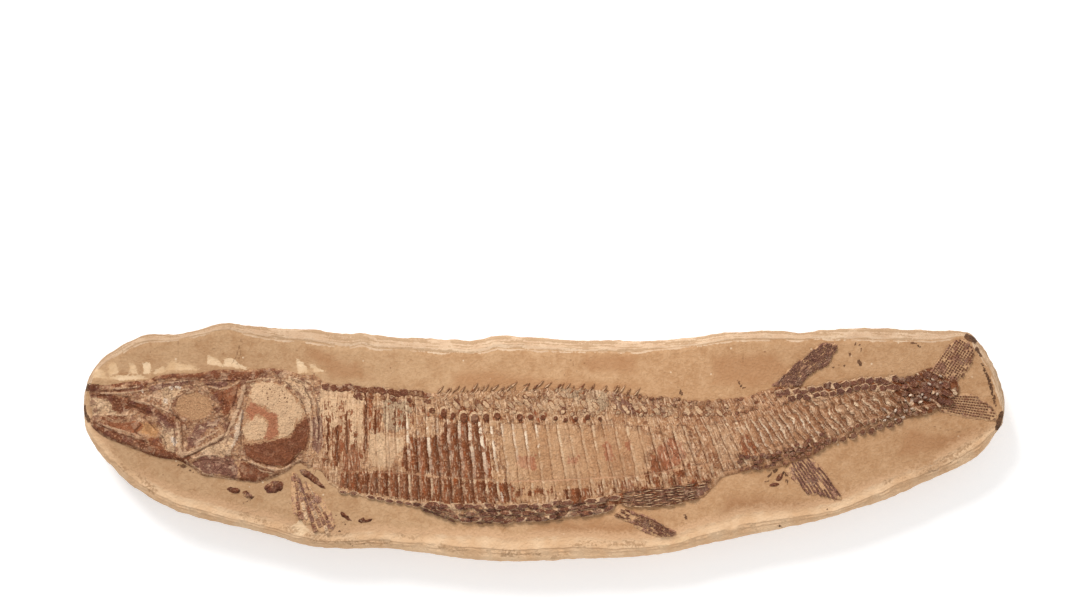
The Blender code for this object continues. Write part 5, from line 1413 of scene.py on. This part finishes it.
# Dark outlines under the lozenges: painted shadow.
scales += rimmed(lozenges, 0.8, 0.2, 0.1, {"dark": 0.5})
for shift, seed in ((0, 21), (-4, 22), (-8, 23)):
    path = ((60, 29.5 + shift), (80, 28 + shift), (106, 26 + shift), (125, 27 + shift), (140, 30.5 + shift), (160, 35 + shift))
    scales += scale_row(path, 3.7, 3.6, 2.8, 0.8, 30, 0.18, seed, {"dark": 0.4}, -0.2, 0.2, 0.8)
bricks, gaps = [], []
for share, seed in ((0.2, 31), (0.52, 32), (0.84, 33)):
    path = []
    for x in np.arange(-84 + 10 * share, 47, 4.0):
        top, foot = table_at(ROW_LINES[5], x), table_at(BELLY_EDGE, x)
        path.append((x, top + share * (foot - top)))
    bricks += scale_row(path, 7.25, 10.2, 4.0, 0.9, None, 0.42, seed, {"dark": 0.72}, 0.3, 0.08, 1.0)
    gaps += scale_row([(x - 2, y - 1.6) for x, y in path], 5.1, 6.4, 1.3, 1.3, None, 0.95, seed + 5, {"dark": 1.0}, 0.2, 0.3, 0.8)
bricks += scale_row(((-133, -31.5), (-112, -35.6), (-95, -38.4), (-80, -41)), 6.0, 6.4, 2.6, 0.8, None, 0.5, 34,
                    {"dark": 0.68}, 0.0, 0.15, 0.5)
stripes, pale_lines = [], []
for share, seed in ((0.12, 41), (0.3, 42), (0.47, 43), (0.64, 44), (0.82, 45), (0.96, 46)):
    path = []
    for x in np.arange(50, 110 - 12 * share, 4.0):
        top, foot = table_at(ROW_LINES[5], x) + 1.5, table_at(BELLY_EDGE, x)
        path.append((x, top + share * (foot - top)))
    stripes += scale_row(path, 8.5, 9.4, 1.3, 0.9, None, 0.02, seed, {"dark": 0.56, "plum": 0.2}, 0.1, 0.12, 0.45)
    pale_lines += scale_row([(x, y - 0.9) for x, y in path], 7.1, 7.8, 0.9, 1.0, None, 0.06, seed + 9, {"cream": 0.9}, 0.2, 0.2, 0.5)
stem = []
for rise, first, last, seed in ((0.0, 150, 262, 51), (-4.6, 158, 268, 52), (-9.2, 232, 268, 53), (-13.5, 240, 266, 54)):
    path = []
    for x in np.arange(first, last, 4.0):
        ridge_line = np.interp(x, (150, 165, 182, 200, 212, 225, 240, 252, 268), (33.5, 35, 37, 40.5, 42, 42, 43.5, 45, 41))
        path.append((x, ridge_line + rise - 1.6))
    stem += scale_row(path, 5.4, 7.4, 5.4, 0.9, None, 0.62, seed, {"dark": 0.66, "plum": 0.55}, 0.2, 0.03, 0.9)
lower_stem = []
lower = ((126, -17), (140, -15.5), (152, -14.5), (163, -10), (174, -6), (184, -0.5))
for shift, seed in ((0, 55), (3.6, 56), (7.2, 57)):
    lower_stem += scale_row([(x, y + shift) for x, y in lower], 4.2, 5.0, 3.4, 1.0, 20, 0.4, seed,
                            {"dark": 0.62, "plum": 0.5}, 0.0, 0.14, 1.0)
beads = []
for x, y, size in ((188.9, 2, 5.6), (194.3, 2.6, 5), (200.7, 4.6, 5.8), (207, 6.6, 4.6), (213.1, 7.9, 5.6), (218.5, 10.6, 5.4),
                   (225, 11.7, 5.4), (230.4, 14.3, 5.6), (237.4, 19, 5.4), (241.7, 19.2, 4.6), (247, 19.9, 5.2),
                   (253, 23, 4.6), (183.5, 0, 4.6), (178, -3, 4.4)):
    beads.append((x, y, float(face_height(x, y)) + 0.5, 25.0, size * 1.1, size * 0.9, 2.0, 0.5, {"dark": 0.66}))
stem += scale_row(((196, 8), (206, 11.5), (216, 15.5), (226, 18.5), (236, 23.5)), 5.6, 5.2, 3.6, 1.1, 35, 0.3, 58, {"dark": 0.6}, 0.1)
stem += scale_row(((224, 24), (232, 28), (240, 31), (250, 34)), 4.4, 5.0, 3.4, 1.1, -40, 0.1, 59, {"dark": 0.55}, 0.1, 0.1, 1.2)

# Where scales have dropped out of the row above the flank they leave dark round hollows with a pale rim.
hollows = []
for x, y, wide, tall in (
    (-65.3, 19.5, 4.6, 6.6), (-59.5, 17.8, 3.2, 5), (-52.4, 16.4, 5.6, 7.4), (-45.4, 15.8, 5.6, 7.2), (-37.8, 16.6, 4.8, 6),
    (-30.7, 17.6, 5, 4.8), (-16.1, 16.8, 4.6, 5), (-9, 16.8, 4.2, 4.2), (-0.8, 16.6, 4, 3.8), (7.4, 16, 3.4, 3.4),
    (13.8, 15, 3, 3), (20.5, 15.6, 3, 3), (28, 16.8, 3.6, 4.2), (36, 15.6, 2.8, 3), (-73, 21, 4.4, 4.6),
):
    at = float(armour_top(x, y))
    hollows.append((x - 0.3, y + 0.7, at - 0.15, 80.0, tall * 1.1, wide * 1.16, 0.6, -0.05, {"cream": 0.8, "calm": 0.4}))
    hollows.append((x + 0.2, y - 0.1, at + 0.35, 80.0, 0.94 * tall, 0.94 * wide, 0.7, 0.3, {"dark": 0.9, "calm": 0.5}))
lay("dark_hollows", hollows, bone_finish, ["fish"], Sides=9, **{"Top Share": 0.8, "Tilt": 0.02, "Seed": 2})
lay("nape_scales", rimmed(nape, 0.4), bone_finish, ["fish"], Sides=5, **{"Top Share": 0.7, "Tilt": 0.12, "Seed": 4})
lay("thick_scales", scales, bone_finish, ["fish"], Sides=6, **{"Top Share": 0.7, "Tilt": 0.12, "Seed": 3})
lay("back_spines", spines, bone_finish, ["fish"], Sides=4, **{"Top Share": 0.7, "Tilt": 0.1, "Seed": 5})
lay("belly_bricks", rimmed(bricks, 0.9, 0.3, -0.15, {"cream": 0.95}) + gaps, enamel_finish, ["fish"], Sides=6,
    **{"Top Share": 0.75, "Tilt": 0.12, "Seed": 7})
lay("belly_stripes", stripes + pale_lines, enamel_finish, ["fish"], Sides=6, **{"Top Share": 0.6, "Tilt": 0.05, "Seed": 9})
# Painted glints: small pale pieces among the stem's scales, for the lamp's highlights on them.
glints = []
for rise, turn, seed in ((0, 10, 61), (3, 65, 62), (7, 20, 63), (10, -35, 64)):
    path = ((218, 13 + rise), (228, 17 + rise), (240, 24 + rise), (252, 29 + rise), (260, 33 + rise))
    glints += scale_row(path, 4.6, 3.0, 1.7, 1.7, turn, 0.08, seed, {"cream": 0.8, "white": 0.6}, 0.3, 0.62, 2.6)
stem_end = [piece for piece in stem if piece[0] > 228]
stem = rimmed([piece for piece in stem if piece[0] <= 228], 0.5, 0.2, -0.05, {"cream": 0.9})
lay("stem_scales", stem + stem_end + lower_stem + glints, enamel_finish, ["fish"], Sides=5, **{"Top Share": 0.8, "Tilt": 0.14, "Seed": 11})
lay("stem_beads", rimmed(beads, 0.7, 0.5), enamel_finish, ["fish"], Sides=8, **{"Top Share": 0.55, "Tilt": 0.1, "Seed": 13})

# The segments of the fin rays, short bony blocks in rows that run down each fin.
for name, (outline, ends, ray_count, segment, gap, stain, stands_for) in RAYS.items():
    first, last, first_tip, last_tip = (np.array(p, float) for p in ends)
    chance = np.random.default_rng(len(name))
    loose = gap < 0.1
    segments = []
    for number in range(ray_count):
        share = (number + 0.5) / ray_count
        base, tip = first + share * (last - first), first_tip + share * (last_tip - first_tip)
        length = np.hypot(*(tip - base))
        heading = np.degrees(np.arctan2(*(tip - base)[::-1]))
        across = np.array([-(tip - base)[1], (tip - base)[0]]) / length
        base_step, tip_step = abs((last - first) @ across) / ray_count, abs((last_tip - first_tip) @ across) / ray_count
        tone = chance.normal(0, 0.12)
        for at in np.arange(chance.uniform(0, segment) if loose else 0, length + 4, segment):
            here = base + (tip - base) / length * at
            x, y = here + across * (0.7 if loose else 0.25) * lumps(here[0], here[1], 5, 121)
            width = (0.72 if loose else 0.6) * (base_step + (tip_step - base_step) * min(1, at / length))
            inside = shape_field(np.array([x]), np.array([y]), ((0, outline),), 1.0)[0]
            missing = 0.5 if name == "belly_fin" and x < 60 else 0.08
            if inside < 0.5 or chance.uniform() < missing:
                continue
            z = float(face_height(x, y)) + 0.6
            colours = {"plum": 0.7}
            if name == "breast_fin":
                width *= 1.2
                colours = ({"plum": 0.6}, {"cream": 0.8}, {"dark": 0.6})[chance.integers(3) if number else 2]
            if name == "belly_fin" or not loose:
                colours = {"dark": 0.7}
            segments.append((x, y, z, heading + chance.uniform(-4, 4), segment * (1 - gap) * 1.42, width * 1.42, 0.7,
                             (0.12 if name == "breast_fin" else 0.44) + tone + chance.normal(0, 0.14), colours))
    lay(name + "_rays", segments, enamel_finish, [stands_for], Sides=4,
        **{"Corner Turn": np.pi / 4, "Top Share": 0.78, "Tilt": 0.1, "Seed": 17})


# The white table top that the slab lies on, the camera straight above it and soft light from a bright room.
floor_finish = bpy.data.materials.new("white_table")
floor_finish.use_nodes = True
table = floor_finish.node_tree.nodes["Principled BSDF"]
table.inputs["Base Color"].default_value = (0.93, 0.93, 0.93, 1)
table.inputs["Roughness"].default_value = 0.7
table.inputs["Specular IOR Level"].default_value = 0.1
table.inputs["Emission Color"].default_value = (1, 0.99, 0.98, 1)
table.inputs["Emission Strength"].default_value = 0.3
bpy.ops.mesh.primitive_plane_add(size=6, location=(0, 0, -0.0002))
floor = bpy.context.object
floor.name = "white_table"
floor.data.materials.append(floor_finish)

lens = bpy.data.cameras.new("overhead_camera")
camera = bpy.data.objects.new("overhead_camera", lens)
bpy.context.collection.objects.link(camera)
camera.location = (-0.0026, 0.091, 3.0)
lens.sensor_width = 36
lens.lens = 36 * (3.0 - 0.036) / 0.702
lens.clip_end = 20
bpy.context.scene.camera = camera


def soft_light(name, place, aim, size, power):
    """A large square area light aimed at a point."""
    light = bpy.data.lights.new(name, "AREA")
    light.size = size
    light.energy = power
    made = bpy.data.objects.new(name, light)
    bpy.context.collection.objects.link(made)
    made.location = place
    made.rotation_euler = (Vector(aim) - Vector(place)).to_track_quat("-Z", "Y").to_euler()


soft_light("window_light", (-1.3, 2.6, 2.7), (0, 0, 0), 1.4, 124)
soft_light("room_light", (2.2, -1.6, 3.2), (0, 0, 0), 3.0, 34)
room = bpy.data.worlds.new("bright_room")
room.use_nodes = True
room.node_tree.nodes["Background"].inputs["Color"].default_value = (1, 1, 1, 1)
room.node_tree.nodes["Background"].inputs["Strength"].default_value = 0.55
bpy.context.scene.world = room
bpy.context.scene.view_settings.view_transform = "Standard"
